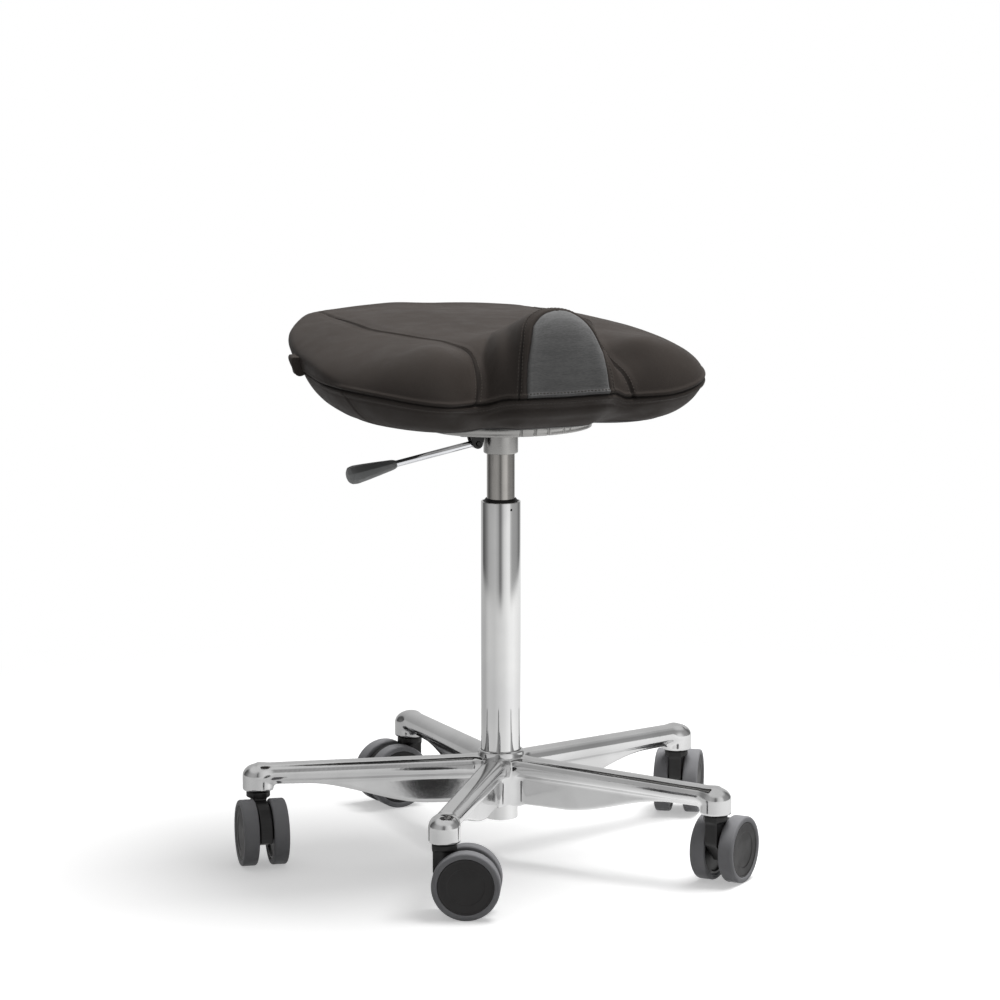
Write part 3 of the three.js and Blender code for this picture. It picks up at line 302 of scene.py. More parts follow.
def surface_net(field, low, high, pitch):
    """A quad mesh of the surface where a field is 0; the field is negative inside."""
    axes = [np.arange(a, b + pitch, pitch) for a, b in zip(low, high)]
    values = np.broadcast_to(field(*np.ix_(*axes)), tuple(len(axis) for axis in axes))
    inside = values < 0
    cells = tuple(n - 1 for n in values.shape)
    count = 0
    for offset in CELL_CORNERS:
        count = count + inside[tuple(slice(o, o + n) for o, n in zip(offset, cells))].astype(np.int8)
    places = np.argwhere((count > 0) & (count < 8))
    index = np.full(cells, -1, int)
    index[tuple(places.T)] = np.arange(len(places))
    total = np.zeros((len(places), 3))
    hits = np.zeros(len(places))
    for a, b in CELL_EDGES:
        va, vb = (values[tuple((places + end).T)] for end in (a, b))
        crossed = (va < 0) != (vb < 0)
        t = np.where(crossed, va / np.where(crossed, va - vb, 1), 0)
        spot = np.array(a) + t[:, None] * (np.array(b) - np.array(a))
        total += np.where(crossed[:, None], spot, 0)
        hits += crossed
    points = np.array(low) + (places + total / hits[:, None]) * pitch
    faces = []
    for axis in range(3):
        others = [(axis + 1) % 3, (axis + 2) % 3]
        first, second = np.delete(inside, -1, axis), np.delete(inside, 0, axis)
        edges = np.argwhere(first != second)
        across = edges[:, others]
        edges = edges[((across > 0) & (across < np.array(cells)[others])).all(1)]
        quad = []
        for step in ((0, 0), (-1, 0), (-1, -1), (0, -1)):
            spot = edges.copy()
            spot[:, others] += step
            quad.append(index[tuple(spot.T)])
        quad = np.stack(quad, 1)
        outward = first[tuple(edges.T)]
        faces.append(np.where(outward[:, None], quad, quad[:, ::-1]))
    return settled(field, points, pitch), np.concatenate(faces)


def settled(field, points, pitch):
    """The points moved onto the field's surface."""
    step = pitch * 0.05
    for _ in range(3):
        ways = step * np.eye(3)
        rises = [field(*(points + way).T) - field(*(points - way).T) for way in ways]
        slope = np.stack(rises, 1) / (2 * step)
        size = np.maximum((slope**2).sum(1), 0.05)
        move = -(field(*points.T) / size)[:, None] * slope
        points = points + move * np.minimum(1, 0.4 * pitch / np.maximum(lengths(move), 1e-9))[:, None]
    return points


def together(*parts):
    """Several (points, faces) as one."""
    points, faces, count = [], [], 0
    for some_points, some_faces in parts:
        points.append(np.asarray(some_points, float))
        faces += [tuple(int(v) + count for v in f) for f in some_faces]
        count += len(some_points)
    return np.concatenate(points), faces


# Material helpers


class Tree:
    """A material's node tree, built with short calls."""

    @classmethod
    def of(cls, node_tree):
        """The same short calls on another kind of node tree."""
        made = cls.__new__(cls)
        made.tree = node_tree
        node_tree.nodes.clear()
        return made

    def __init__(self, name):
        self.material = bpy.data.materials.new(name)
        self.material.use_nodes = True
        self.tree = self.material.node_tree
        self.tree.nodes.clear()
        self.out = self.node("OutputMaterial")
        self.shader = self.node("BsdfPrincipled")
        self.tree.links.new(self.shader.outputs[0], self.out.inputs[0])

    def node(self, kind, inputs=None, **settings):
        node = self.tree.nodes.new("ShaderNode" + kind)
        for key, value in settings.items():
            setattr(node, key, value)
        for key, value in (inputs or {}).items():
            self.feed(node.inputs[key], value)
        return node

    def feed(self, socket, value):
        if isinstance(value, bpy.types.NodeSocket):
            self.tree.links.new(value, socket)
        else:
            socket.default_value = value

    def maths(self, operation, a, b=0.0, clamp=False):
        return self.node("Math", {0: a, 1: b}, operation=operation, use_clamp=clamp).outputs[0]

    def plus(self, a, b):
        return self.maths("ADD", a, b)

    def times(self, a, b):
        return self.maths("MULTIPLY", a, b)

    def blend(self, a, share_a, b, share_b):
        return self.plus(self.times(a, share_a), self.times(b, share_b))

    def vector(self, operation, a, b=(0, 0, 0), result="Vector"):
        return self.node("VectorMath", {0: a, 1: b}, operation=operation).outputs[result]

    def place(self, stretch=(1, 1, 1)):
        return self.vector("MULTIPLY", self.node("TexCoord").outputs["Object"], stretch)

    def noise(self, scale, detail=3, stretch=(1, 1, 1)):
        inputs = {"Vector": self.place(stretch), "Scale": scale, "Detail": detail, "Roughness": 0.55}
        return self.node("TexNoise", inputs).outputs[0]

    def band(self, value, low, high, to_low=0.0, to_high=1.0):
        inputs = {0: value, 1: low, 2: high, 3: to_low, 4: to_high}
        return self.node("MapRange", inputs, interpolation_type="SMOOTHSTEP").outputs[0]

    def colours(self, share, first, second):
        return self.mixed(share, (*first, 1), (*second, 1))

    def mixed(self, share, first, second):
        return self.node("Mix", {0: share, 6: first, 7: second}, data_type="RGBA").outputs[2]

    def bump(self, height, distance, strength=1.0):
        inputs = {"Height": height, "Distance": distance, "Strength": strength}
        return self.node("Bump", inputs).outputs[0]

    def set(self, **values):
        for key, value in values.items():
            self.feed(self.shader.inputs[key.replace("_", " ")], value)
        return self.material


def srgb(*levels):
    """Linear colour of 0-255 levels, one alone for a grey."""
    out = []
    for level in levels if len(levels) == 3 else levels * 3:
        v = level / 255
        out.append(v / 12.92 if v <= 0.04045 else ((v + 0.055) / 1.055) ** 2.4)
    return tuple(out)


def metal(name, light, dark, rough, grain=400, stretch=(1, 1, 1), depth=0.00002):
    """A metal whose colour and roughness drift, with a fine directional grain."""
    tree = Tree(name)
    drift = tree.noise(12, 4)
    lines = tree.noise(grain, 3, stretch)
    wear = tree.blend(drift, 0.5, lines, 0.5)
    return tree.set(
        Base_Color=tree.colours(tree.band(drift, 0.35, 0.65), dark, light),
        Metallic=1.0,
        Roughness=tree.band(wear, 0.3, 0.7, rough * 0.8, rough * 1.25),
        Normal=tree.bump(lines, depth),
    )


def plastic(name, light, dark, rough, grain=900, depth=0.00006, gloss=0.5):
    """A moulded plastic with a spark-eroded grain and faint handling marks."""
    tree = Tree(name)
    drift = tree.noise(22, 4)
    tree.shader.inputs["Specular IOR Level"].default_value = gloss
    return tree.set(
        Base_Color=tree.colours(tree.band(drift, 0.3, 0.7), dark, light),
        Roughness=tree.band(tree.noise(60, 4), 0.3, 0.7, rough * 0.88, rough * 1.12),
        Normal=tree.bump(tree.noise(grain, 2), depth),
    )


POLISHED = metal("polished_aluminium", srgb(226), srgb(212), 0.13)
CHROME = metal("chromed_tube", srgb(232, 233, 236), srgb(222, 223, 226), 0.07, depth=0.000004)
BRUSHED = metal(
    "brushed_dark_steel", srgb(190, 187, 183), srgb(172, 169, 165), 0.17, 60, (1, 1, 40), 0.000006
)
MACHINED = metal("machined_aluminium", srgb(178, 177, 175), srgb(164, 163, 161), 0.24, 90, (1, 1, 30))
STEEL = metal("plain_steel", srgb(170, 170, 172), srgb(140, 140, 142), 0.32)
BLACK = plastic("black_plastic", srgb(34, 33, 33), srgb(26, 25, 25), 0.45)
GRIP = plastic("grip_plastic", srgb(184, 186, 186), srgb(168, 170, 170), 0.42)
WHEEL = plastic("wheel_plastic", srgb(40, 38, 38), srgb(31, 29, 29), 0.5)
SHELL = plastic("shell_plastic", srgb(40, 39, 39), srgb(32, 31, 31), 0.55)
RUBBER = plastic("black_rubber", srgb(30, 30, 31), srgb(24, 24, 25), 0.8)
TYRE = plastic("grey_tyre", srgb(170, 170, 173), srgb(158, 158, 161), 0.62, 500, 0.00008, 0.35)
THREAD = plastic("thread", srgb(98, 92, 87), srgb(80, 75, 71), 0.6, 3000, 0.00005)


def tube_finish():
    """Chrome with the small locating hole near the tube's mouth: a shallow bump whose dark inside is
    painted shade.
    """
    tree = Tree("tube_chrome")
    centre = tuple(v * MM for v in SMALL_HOLE)
    away = tree.vector("DISTANCE", tree.node("TexCoord").outputs["Object"], centre, "Value")
    # Painted shade: inside the hole's rim the chrome turns black and stops being metal, for the shade
    # within the hole.
    hole = tree.band(away, SMALL_HOLE_R * MM * 0.75, SMALL_HOLE_R * MM, 1.0, 0.0)
    drift = tree.noise(9, 4)
    chrome = tree.colours(tree.band(drift, 0.35, 0.65), srgb(223), srgb(234, 234, 233))
    return tree.set(
        Base_Color=tree.mixed(hole, chrome, (0.004, 0.004, 0.004, 1)),
        Metallic=tree.maths("SUBTRACT", 1.0, hole),
        Roughness=tree.maths("ADD", tree.band(drift, 0.3, 0.7, 0.05, 0.09), hole, True),
        Normal=tree.bump(hole, -0.0006),
    )


TUBE = tube_finish()

def stand_for(piece, body, slot, *nodes):
    """Puts a finished piece in the place of CAD nodes, on their body."""
    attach(piece, body)
    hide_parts(*nodes)
    return piece


# Base star: a cast hub and five arms, each a full bar over a thin web, ending in a stem boss


def tube_radius(z):
    return mix(TUBE_END_R, TUBE_R, np.clip((z - HUB_BOTTOM_Z) / (TAPER_TOP_Z - HUB_BOTTOM_Z), 0, 1))


def star_field(x, y, z):
    around = np.degrees(np.arctan2(y, x)) - FIRST_ARM_DEG
    sector = 360 / ARM_COUNT
    folded = np.radians(np.mod(around + sector / 2, sector) - sector / 2)
    radius = np.hypot(x, y)
    u = radius * np.cos(folded)
    v = np.abs(radius * np.sin(folded))
    share = np.clip(u / STEM_CIRCLE_R, 0, 1)
    half_w = mix(ARM_ROOT_W, ARM_TIP_W, share) / 2
    half_h = mix(ARM_ROOT_H, ARM_TIP_H, share) / 2
    mid_z = mix(ARM_ROOT_TOP_Z, ARM_TIP_TOP_Z, share) - half_h
    dz = (z - mid_z) / half_h
    section = (v / half_w) ** 2.5 + np.where(dz > 0, np.abs(dz) ** 2.35, np.abs(dz) ** 3.2)
    bar = shared((section**0.4 - 1) * 9.5, u - STEM_CIRCLE_R, 2)
    low_z = mix(HUB_BOTTOM_Z, WEB_TIP_Z, smooth(*WEB_SWEEP_SHARES, share))
    web = shared(v - WEB_T / 2, low_z - z, 3)
    web = shared(web, np.maximum(z - 88, u - STEM_CIRCLE_R), 1)
    arm = union(bar, web, 5)
    from_stem = np.hypot(u - STEM_CIRCLE_R, v)
    shoulder_z = ARM_TIP_TOP_Z - BOSS_CROWN_H
    dome = (np.hypot(from_stem / BOSS_R, np.maximum(z - shoulder_z, 0) / BOSS_CROWN_H) - 1) * 12
    boss = shared(dome, BOSS_BOTTOM_Z - z, 1.5)
    arm = union(arm, boss, 4)
    arm = carved(arm, shared(from_stem - STEM_SOCKET_R, z - BOSS_BOTTOM_Z - STEM_UP - 0.3, 0.5), 1)
    hub = shared(radius - HUB_R, np.maximum(HUB_BOTTOM_Z - z, z - HUB_TOP_Z), 2.5)
    return carved(union(hub, arm, 9), radius - tube_radius(z) - 0.3, 0.8)


reach = STEM_CIRCLE_R + BOSS_R + 3
star = surface_net(star_field, (-reach, -reach, 50), (reach, reach, 112), STAR_PITCH)
collar = rounded([
    (20.2, 96, 0), (23.4, 96, 0), (23.4, 99.5, 0.6), (22, 100.6, 0.5), (23.2, 102.5, 1.6),
    (23.2, 107.8, 1.6), (21.6, RING_TOP_Z, 0.8), (20.2, RING_TOP_Z, 0.4),
])
star = mesh_object("cast_star", *together(star, turned(collar, 128)), POLISHED, 50)
stand_for(star, "base", "polished_aluminium", "base_star")

# Column

INNER_R = TUBE_R - TUBE_WALL
FOOT_INNER_R = TUBE_END_R - TUBE_WALL
tube_profile = rounded([
    (TUBE_END_R, TUBE_END_Z, 0.8), (TUBE_END_R, HUB_BOTTOM_Z, 0), (TUBE_R, TAPER_TOP_Z, 0),
    (TUBE_R, TUBE_TOP_Z, 1.2), (INNER_R, TUBE_TOP_Z, 0.5), (INNER_R, TAPER_TOP_Z, 0),
    (FOOT_INNER_R, FLOOR_Z + FLOOR_T, 1), (FLOOR_HOLE_R, FLOOR_Z + FLOOR_T, 0.3),
    (FLOOR_HOLE_R, FLOOR_Z, 0.3), (FOOT_INNER_R, FLOOR_Z, 0.8), (FOOT_INNER_R, TUBE_END_Z, 0.5),
])
tube = mesh_object("tube", *turned(tube_profile, 160), TUBE)
stand_for(tube, "base", "chromed_steel", "column_tube")

bush_low, bush_high = TUBE_TOP_Z - BUSH_RECESS - BUSH_LENGTH, TUBE_TOP_Z + 2.6
bush_profile = rounded([
    (INNER_R - 0.4, TUBE_TOP_Z - 0.6, 0.5), (INNER_R - 0.4, bush_low, 0.5),
    (CYLINDER_R + 0.45, bush_low, 0.5), (CYLINDER_R + 0.45, bush_high, 0.3),
    (CYLINDER_R + 1.3, bush_high, 0.4),
])
bush = mesh_object("bush", *turned(bush_profile), BLACK)
stand_for(bush, "base", "black_plastic", "guide_bush")

low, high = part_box("gas_cylinder")
spring_low, spring_high = low.z / MM, high.z / MM
spring_profile = rounded([
    (CYLINDER_R, spring_low, 1.5), (CYLINDER_R, spring_high, 0.8), (2.4, spring_high, 0.2),
    (2.4, spring_high - 11, 0.2), (CYLINDER_R - CYLINDER_WALL, spring_high - 11, 0.5),
    (CYLINDER_R - CYLINDER_WALL, spring_low + 15, 0.5), (5.3, spring_low + 15, 0.2),
    (5.3, spring_low, 0.3),
])
spring = mesh_object("gas_spring", *turned(spring_profile, 128), BRUSHED)
stand_for(spring, "seat", "dark_steel", "gas_cylinder")

# Seat plate: an oval dish with a rim, ribs and screw bosses, and a turned socket


def plate_field(x, y, z):
    py = y - PLATE_CENTRE_Y
    oval = (np.hypot(x / PLATE_HALF_X, py / PLATE_HALF_Y) - 1) * 75
    rim = shared(oval, -oval - PLATE_RIM_W, 0.6)
    skin = shared(oval, PLATE_SKIN_Z - z, 0.8)
    ribs = 1e3
    for turn in PLATE_RIB_DEGS:
        a = math.radians(turn)
        ribs = np.minimum(ribs, np.abs(-x * math.sin(a) + y * math.cos(a)) - PLATE_RIB_W / 2)
    ribs = shared(ribs, np.maximum(oval + 1, z - PLATE_SKIN_Z - 1), 0.6)
    plate = union(union(rim, skin, 1.5), ribs, 1.5)
    for bx, by in SCREW_PLACES:
        boss = shared(np.hypot(x - bx, y - by) - SCREW_BOSS_R, z - PLATE_SKIN_Z - 1, 0.6)
        plate = union(plate, boss, 1.5)
    pad = np.maximum(np.abs(x - PIVOT_X) - HANGER_HALF - 1.5, np.abs(y) - HANGER_HALF - 1.5)
    plate = union(plate, shared(pad, z - PLATE_SKIN_Z - 1, 0.6), 1)
    middle = shared(np.hypot(x, y) - SOCKET_R - 1.5, z - PLATE_SKIN_Z - 1, 0.6)
    plate = union(plate, middle, 2)
    plate = shared(plate, np.maximum(PLATE_BOTTOM_Z - z, z - PLATE_TOP_Z), 1)
    slot = np.maximum(np.abs(y) - 3.5, np.maximum(x - 4.2, -32 - x))
    plate = carved(plate, np.minimum(slot, np.hypot(x, y) - 8.4), 0.5)
    for bx, by in SCREW_PLACES:
        plate = carved(plate, np.hypot(x - bx, y - by) - 3.3, 0.4)
    for turn in RIM_NOTCH_DEGS:
        a = math.radians(turn)
        nx, ny = PLATE_HALF_X * math.sin(a), -PLATE_HALF_Y * math.cos(a)
        plate = carved(plate, np.hypot(x - nx, py - ny) - 1.3, 0.5)
    return plate


plate = surface_net(
    plate_field,
    (-PLATE_HALF_X - 2, PLATE_CENTRE_Y - PLATE_HALF_Y - 2, PLATE_BOTTOM_Z - 2),
    (PLATE_HALF_X + 2, PLATE_CENTRE_Y + PLATE_HALF_Y + 2, PLATE_TOP_Z + 2),
    0.9,
)
SOCKET_INNER_R = CYLINDER_R + 0.3
socket_profile = rounded([
    (SOCKET_R, SOCKET_BOTTOM_Z, 1.4), (SOCKET_R, PLATE_BOTTOM_Z + 1, 0),
    (SOCKET_R - 2, PLATE_BOTTOM_Z + 2, 0), (SOCKET_INNER_R, PLATE_BOTTOM_Z + 2, 0),
    (SOCKET_INNER_R, SOCKET_BOTTOM_Z, 0.8),
])
dish = mesh_object("dish_plate", *together(plate, turned(socket_profile, 128)), MACHINED, 45)
stand_for(dish, "seat", "polished_aluminium", "seat_plate")

# Lever hanger, lever and grip

DROP = math.radians(LEVER_DROP_DEG)
ALONG = np.array((-math.cos(DROP), 0, -math.sin(DROP)))
ASIDE = np.array((0, 1, 0))
UPWARD = np.array((-math.sin(DROP), 0, math.cos(DROP)))
PIVOT = np.array((PIVOT_X, 0, PIVOT_Z), float)
PIN_R = 2.3


def hanger_field(x, y, z):
    lower = np.hypot(x - PIVOT_X, z - PIVOT_Z) - 5.4
    upper = np.maximum(np.abs(x - PIVOT_X) - 5.4 - 0.3 * (z - PIVOT_Z), PIVOT_Z - z)
    side = np.minimum(lower, upper)
    block = shared(side, np.maximum(np.abs(y) - 6.8, z - PLATE_BOTTOM_Z), 1)
    slot = np.maximum(np.abs(y) - 2.95, z - PLATE_BOTTOM_Z + 1.5)
    neck = np.maximum(np.abs(y) - 2.95, np.maximum(-26.5 - x, PIVOT_Z - z))
    px, pz = x - PIVOT_X, z - PIVOT_Z
    s = px * ALONG[0] + pz * ALONG[2]
    across = np.hypot(y, px * UPWARD[0] + pz * UPWARD[2])
    channel = np.maximum(across - LEVER_ROD_R - 0.9, -s)
    pin = np.hypot(px, pz) - PIN_R
    cut = np.minimum(np.minimum(slot, neck), np.minimum(channel, pin))
    return carved(block, cut, 0.4)


hanger = surface_net(hanger_field, (-37, -10, 412), (-17, 10, 442), 0.45)
hanger = mesh_object("hanger", *hanger, BLACK, 50)
stand_for(hanger, "seat", "black_plastic", "lever_hanger")

low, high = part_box("release_lever")
finger_top = high.z / MM
crank_outline = rounded([
    (PIVOT_X - 5, PIVOT_Z - 5, 4), (PIVOT_X + 5, PIVOT_Z - 5, 4), (PIVOT_X + 5, PIVOT_Z + 5, 2),
    (-20, PIVOT_Z + 6, 2), (-20, finger_top - 3.6, 1), (3.5, finger_top - 3.6, 1),
    (4, finger_top - 1.8, 0.8), (3, finger_top, 0.8), (-24, finger_top, 2),
    (-24, PIVOT_Z + 7, 2), (PIVOT_X - 5, PIVOT_Z + 4, 3),
])


def crank_field(x, y, z):
    flat = polygon_distance(x, z, crank_outline)
    crank = shared(flat, np.abs(y) - 2.5, 0.6)
    return carved(crank, np.hypot(x - PIVOT_X, z - PIVOT_Z) - PIN_R, 0.3)


crank = surface_net(crank_field, (-34, -4, 415), (6, 4, finger_top + 2), 0.5)
rod_end = GRIP_START + GRIP_BORE_DEPTH - 0.3
rod_profile = [(0.05, 3.5, 0), (LEVER_ROD_R, 3.5, 0.8), (LEVER_ROD_R, rod_end, 0.8), (0.05, rod_end, 0)]
rod_points, rod_faces = turned(rounded(rod_profile, closed=False), 64, closed=False)
rod_points = PIVOT + rod_points @ np.array((UPWARD, ASIDE, ALONG))
lever = mesh_object("lever_rod", *together(crank, (rod_points, rod_faces)), CHROME, 45)
stand_for(lever, "lever", "polished_aluminium", "release_lever")

GRIP_SHARES = (0, 0.03, 0.1, 0.3, 0.6, 0.85, 0.96, 1)
GRIP_THICK = (0.74, 0.97, 1.06, 1.3, 1.64, 1.87, 1.7, 1.05)
GRIP_WIDE = (0.66, 0.96, 1.08, 1.45, 2, 2.3, 2.02, 1.1)


def capped(rows, sides):
    """Faces of a grid of rings, closed by a middle point at the first ring and one at the last."""
    faces = ring_faces(rows, sides)
    count = rows * sides
    last = count - sides
    for j in range(sides):
        k = (j + 1) % sides
        faces += [(k, j, count), (last + j, last + k, count + 1)]
    return faces


def grip_mesh(rows=60, sides=96):
    """A paddle with eight soft facets that swells towards its round outer end."""
    shares = 1 - (1 - np.linspace(0, 1, rows)) ** 1.6
    form = np.array([np.interp(shares, GRIP_SHARES, values) for values in (GRIP_THICK, GRIP_WIDE)])
    for _ in range(3):
        form[:, 1:-1] = (form[:, :-2] + 2 * form[:, 1:-1] + form[:, 2:]) / 4
    angle = full_turn(sides)
    facet = math.pi / 4
    local = np.mod(angle + facet / 2, facet) - facet / 2
    section = GRIP_ROOT_R * mix(1.0, np.cos(facet / 2) / np.cos(local), 0.8)
    points = []
    for share, thick, wide in zip(shares, *form):
        ring = np.outer(thick * np.cos(angle) * section, UPWARD)
        ring += np.outer(wide * np.sin(angle) * section, ASIDE)
        points.append(PIVOT + (GRIP_START + GRIP_LENGTH * share) * ALONG + ring)
    ends = [[PIVOT + s * ALONG] for s in (GRIP_START, GRIP_START + GRIP_LENGTH)]
    return np.concatenate(points + ends), capped(rows, sides)


grip = mesh_object("paddle_grip", *grip_mesh(), GRIP, 60, weld=True)
stand_for(grip, "lever", "grip_plastic", "lever_grip")

# Castors

HOOD_R = 30
hood = [
    (TRAIL + HOOD_R * math.cos(a), WHEEL_R + HOOD_R * math.sin(a), 0)
    for a in np.radians(range(0, 110, 10))
]
housing_outline = rounded([
    (-11, 70, 0), (-11, 42, 6), (10, 22, 5), (26, 20.5, 6), (49.5, 27.5, 3), *hood,
    (11, 63, 3), (11, 70, 0),
])


def housing_field(x, y, z):
    flat = polygon_distance(x, z, housing_outline)
    body = shared(flat, np.abs(y) - HOUSING_W / 2, 1.4)
    from_stem = np.hypot(x, y)
    low_z = HOUSING_TOP_Z - FLANGE_T
    flange = shared(from_stem - FLANGE_R, np.maximum(low_z - z, z - HOUSING_TOP_Z), 1.6)
    tower = shared(from_stem - 7.6, np.maximum(46 - z, z - HOUSING_TOP_Z + 1), 1)
    form = union(union(body, tower, 2), flange, 2.5)
    return carved(form, np.maximum(from_stem - 4.9, 50 - z), 0.5)


housing_mesh = surface_net(housing_field, (-15, -14, 17), (55, 14, 74), HOUSING_PITCH)
DISC_R = WHEEL_R - TYRE_T
OUTER = WHEEL_W / 2
tyre_profile = rounded([
    (DISC_R + 0.15, -OUTER + 0.6, 0.5), (DISC_R + 1.6, -OUTER, 0.8), (WHEEL_R, -OUTER, TYRE_ROUND),
    (WHEEL_R, OUTER, TYRE_ROUND), (DISC_R + 1.6, OUTER, 0.8), (DISC_R + 0.15, OUTER - 0.6, 0.5),
], steps=8)
disc_profile = rounded([
    (0.05, OUTER - 1.6, 0), (17.5, OUTER - 1.6, 0.4), (18.3, OUTER - 1.1, 0.4),
    (DISC_R - 2.2, OUTER - 1.1, 0.4), (DISC_R - 1.4, OUTER - 0.7, 0.4), (DISC_R, OUTER - 0.7, 0.5),
    (DISC_R, -OUTER + 0.8, 0.6), (DISC_R - 2.5, -OUTER + 0.8, 0.5), (DISC_R - 3.5, -OUTER + 3, 0.8),
    (9, -OUTER + 3, 0.8), (8, -OUTER - 0.9, 0.4), (4.5, -OUTER - 0.9, 0.3), (4.5, 2, 0), (0.05, 2, 0),
], closed=False)
tyre_mesh = turned(tyre_profile, 128)
disc_mesh = turned(disc_profile, 128, closed=False)


def placed(name, shape, finish, matrix, sharp_deg=40):
    piece = mesh_object(name, *shape, finish, sharp_deg)
    piece.matrix_world = matrix
    return piece


for number, turn in enumerate(CASTOR_TURN_DEGS, 1):
    arm = math.radians(FIRST_ARM_DEG + (number - 1) * 360 / ARM_COUNT)
    stem = Vector((math.cos(arm), math.sin(arm), 0)) * STEM_CIRCLE_R * MM
    castor = Matrix.Translation(stem) @ Matrix.Rotation(math.radians(turn), 4, "Z")
    body = f"castor_{number}"
    fork = placed(f"{body}_fork", housing_mesh, BLACK, castor, 50)
    stand_for(fork, body, "black_plastic", f"{body}_housing")
    for side, sign in (("left", 1), ("right", -1)):
        axle = Matrix.Translation(Vector((TRAIL, sign * WHEEL_SPACING / 2, WHEEL_R)) * MM)
        wheel = castor @ axle @ Matrix.Rotation(-sign * math.pi / 2, 4, "X")
        name = f"{body}_{side}"
        disc = placed(f"{name}_hubcap", disc_mesh, WHEEL, wheel)
        stand_for(disc, f"{name}_wheel", "wheel_plastic", f"{name}_disc")
        tyre = placed(f"{name}_tread", tyre_mesh, TYRE, wheel)
        stand_for(tyre, f"{name}_wheel", "grey_tyre", f"{name}_tyre")

# Saddle


def around_curve(degs, values):
    """A smooth closed curve through values at angles from the front, mirrored left to right."""
    inner = [(d, v) for d, v in zip(degs, values) if 0 < d < 180]
    keys = list(zip(degs, values)) + [(360 - d, v) for d, v in reversed(inner)]
    d = np.array([k[0] for k in keys], float)
    v = np.array([k[1] for k in keys], float)
    d = np.concatenate([d[-2:] - 360, d, d[:3] + 360])
    v = np.concatenate([v[-2:], v, v[:3]])
    slopes = np.zeros(len(d))
    slopes[1:-1] = (v[2:] - v[:-2]) / (d[2:] - d[:-2])

    def at(deg):
        deg = np.mod(deg, 360)
        i = np.searchsorted(d, deg, side="right") - 1
        span = d[i + 1] - d[i]
        t = (deg - d[i]) / span
        return (
            (2 * t**3 - 3 * t**2 + 1) * v[i]
            + (t**3 - 2 * t**2 + t) * span * slopes[i]
            + (3 * t**2 - 2 * t**3) * v[i + 1]
            + (t**3 - t**2) * span * slopes[i + 1]
        )

    return at


outline_at = around_curve(OUTLINE_DEGS, OUTLINE_SHARES)
seam_at = around_curve(SEAM_DEGS, SEAM_SHARES)
bulge_at = around_curve(BULGE_DEGS, BULGE_SHARES)
swell_at = around_curve(SWELL_DEGS, SWELL_SHARES)
shoulder_at = around_curve(SHOULDER_DEGS, SHOULDER_POWERS)


def crown_height(x, y):
    u, v = x / SEAT_HALF_WIDTH, y / SEAT_HALF_WIDTH
    front = np.minimum(v, 0) ** 2
    bowl = 0.4422 + 0.0797 * v - 0.0914 * v * v - 0.0322 * u * u - 0.0077 * u * u * v
    bowl = bowl + 0.3315 * front + 0.2028 * front * u * u
    ridge = 0.1313 * np.exp(-((np.abs(u) / 0.1949) ** 2.4)) * smooth(0.0038, -0.6065, v)
    valley = 0.079 * np.exp(-(((np.abs(u) - 0.3756) / 0.1015) ** 2)) * smooth(-0.1523, -0.6091, v)
    return SEAT_BOTTOM_Z + SEAT_HALF_WIDTH * (bowl + ridge - valley)


def seam_radius(deg):
    return SEAT_HALF_WIDTH * outline_at(deg)


def bulge(deg):
    return SEAT_HALF_WIDTH * np.maximum(bulge_at(deg), 0)


def seam_height(deg):
    return SEAT_BOTTOM_Z + SEAT_HALF_WIDTH * seam_at(deg)


def widest_height(deg):
    return seam_height(deg) + SEAT_HALF_WIDTH * swell_at(deg)


def outward(deg, radius, z):
    a = np.radians(deg)
    return np.stack(np.broadcast_arrays(radius * np.sin(a), -radius * np.cos(a), z), -1)


def crown_point(deg, share):
    radius = share * (seam_radius(deg) + bulge(deg))
    flat = outward(deg, radius, 0.0)
    fall = np.clip(1 - share ** shoulder_at(deg), 0, 1) ** (1 / CROWN_POWER)
    z = mix(widest_height(deg), crown_height(flat[..., 0], flat[..., 1]), fall)
    return outward(deg, radius, z)


def flank_point(deg, share):
    turn = share * math.pi / 2
    radius = seam_radius(deg) + bulge(deg) * np.cos(turn)
    return outward(deg, radius, mix(widest_height(deg), seam_height(deg), np.sin(turn)))


def under_point(deg, share, lift=0.0):
    flat = np.clip(1 - share**UNDER_POWER, 0, 1) ** (1 / UNDER_FOLD)
    z = mix(seam_height(deg), SEAT_BOTTOM_Z, flat) + lift
    return outward(deg, share * seam_radius(deg), z)


def evenly(points, spacing):
    """Rows of points resampled along their second axis at shares of arc length."""
    rows = zip(points, run_along(points))
    return np.array([points_at(spacing * run[-1], run, line) for line, run in rows])


def seat_angles(count, crowding=0.45):
    """Angles round the seat in degrees, closer together at the front."""
    turn = full_turn(count)
    return np.degrees(turn - crowding * np.sin(turn))


AROUND = 900
TOP_ROWS = 200
UNDER_ROWS = 60
RELAX_ROUNDS = 60
SHELL_LIP = SHELL_SHARE + 0.6 / SEAT_HALF_WIDTH


def toward_end(count, power=1.35):
    """Shares from 0 to 1 that lie closer together towards 1."""
    return 1 - (1 - np.linspace(0, 1, count)) ** power


def relaxed(points):
    """The crown's rows with the small steps of their formula smoothed away; the seam stays."""
    hold = smooth(0, 1, (TOP_ROWS - 1 - np.arange(TOP_ROWS)) / (TOP_ROWS * 0.05))[None, :, None]
    for _ in range(RELAX_ROUNDS):
        near = np.roll(points, 1, 0) + np.roll(points, -1, 0)
        along = points.copy()
        along[:, 1:-1] = (points[:, :-2] + points[:, 2:]) / 2
        points = mix(points, (near / 2 + along) / 2, 0.7 * hold)
    return points


def run_back(rows):
    """Distance along each line of points from its last point."""
    return run_along(rows[:, ::-1])[:, ::-1]


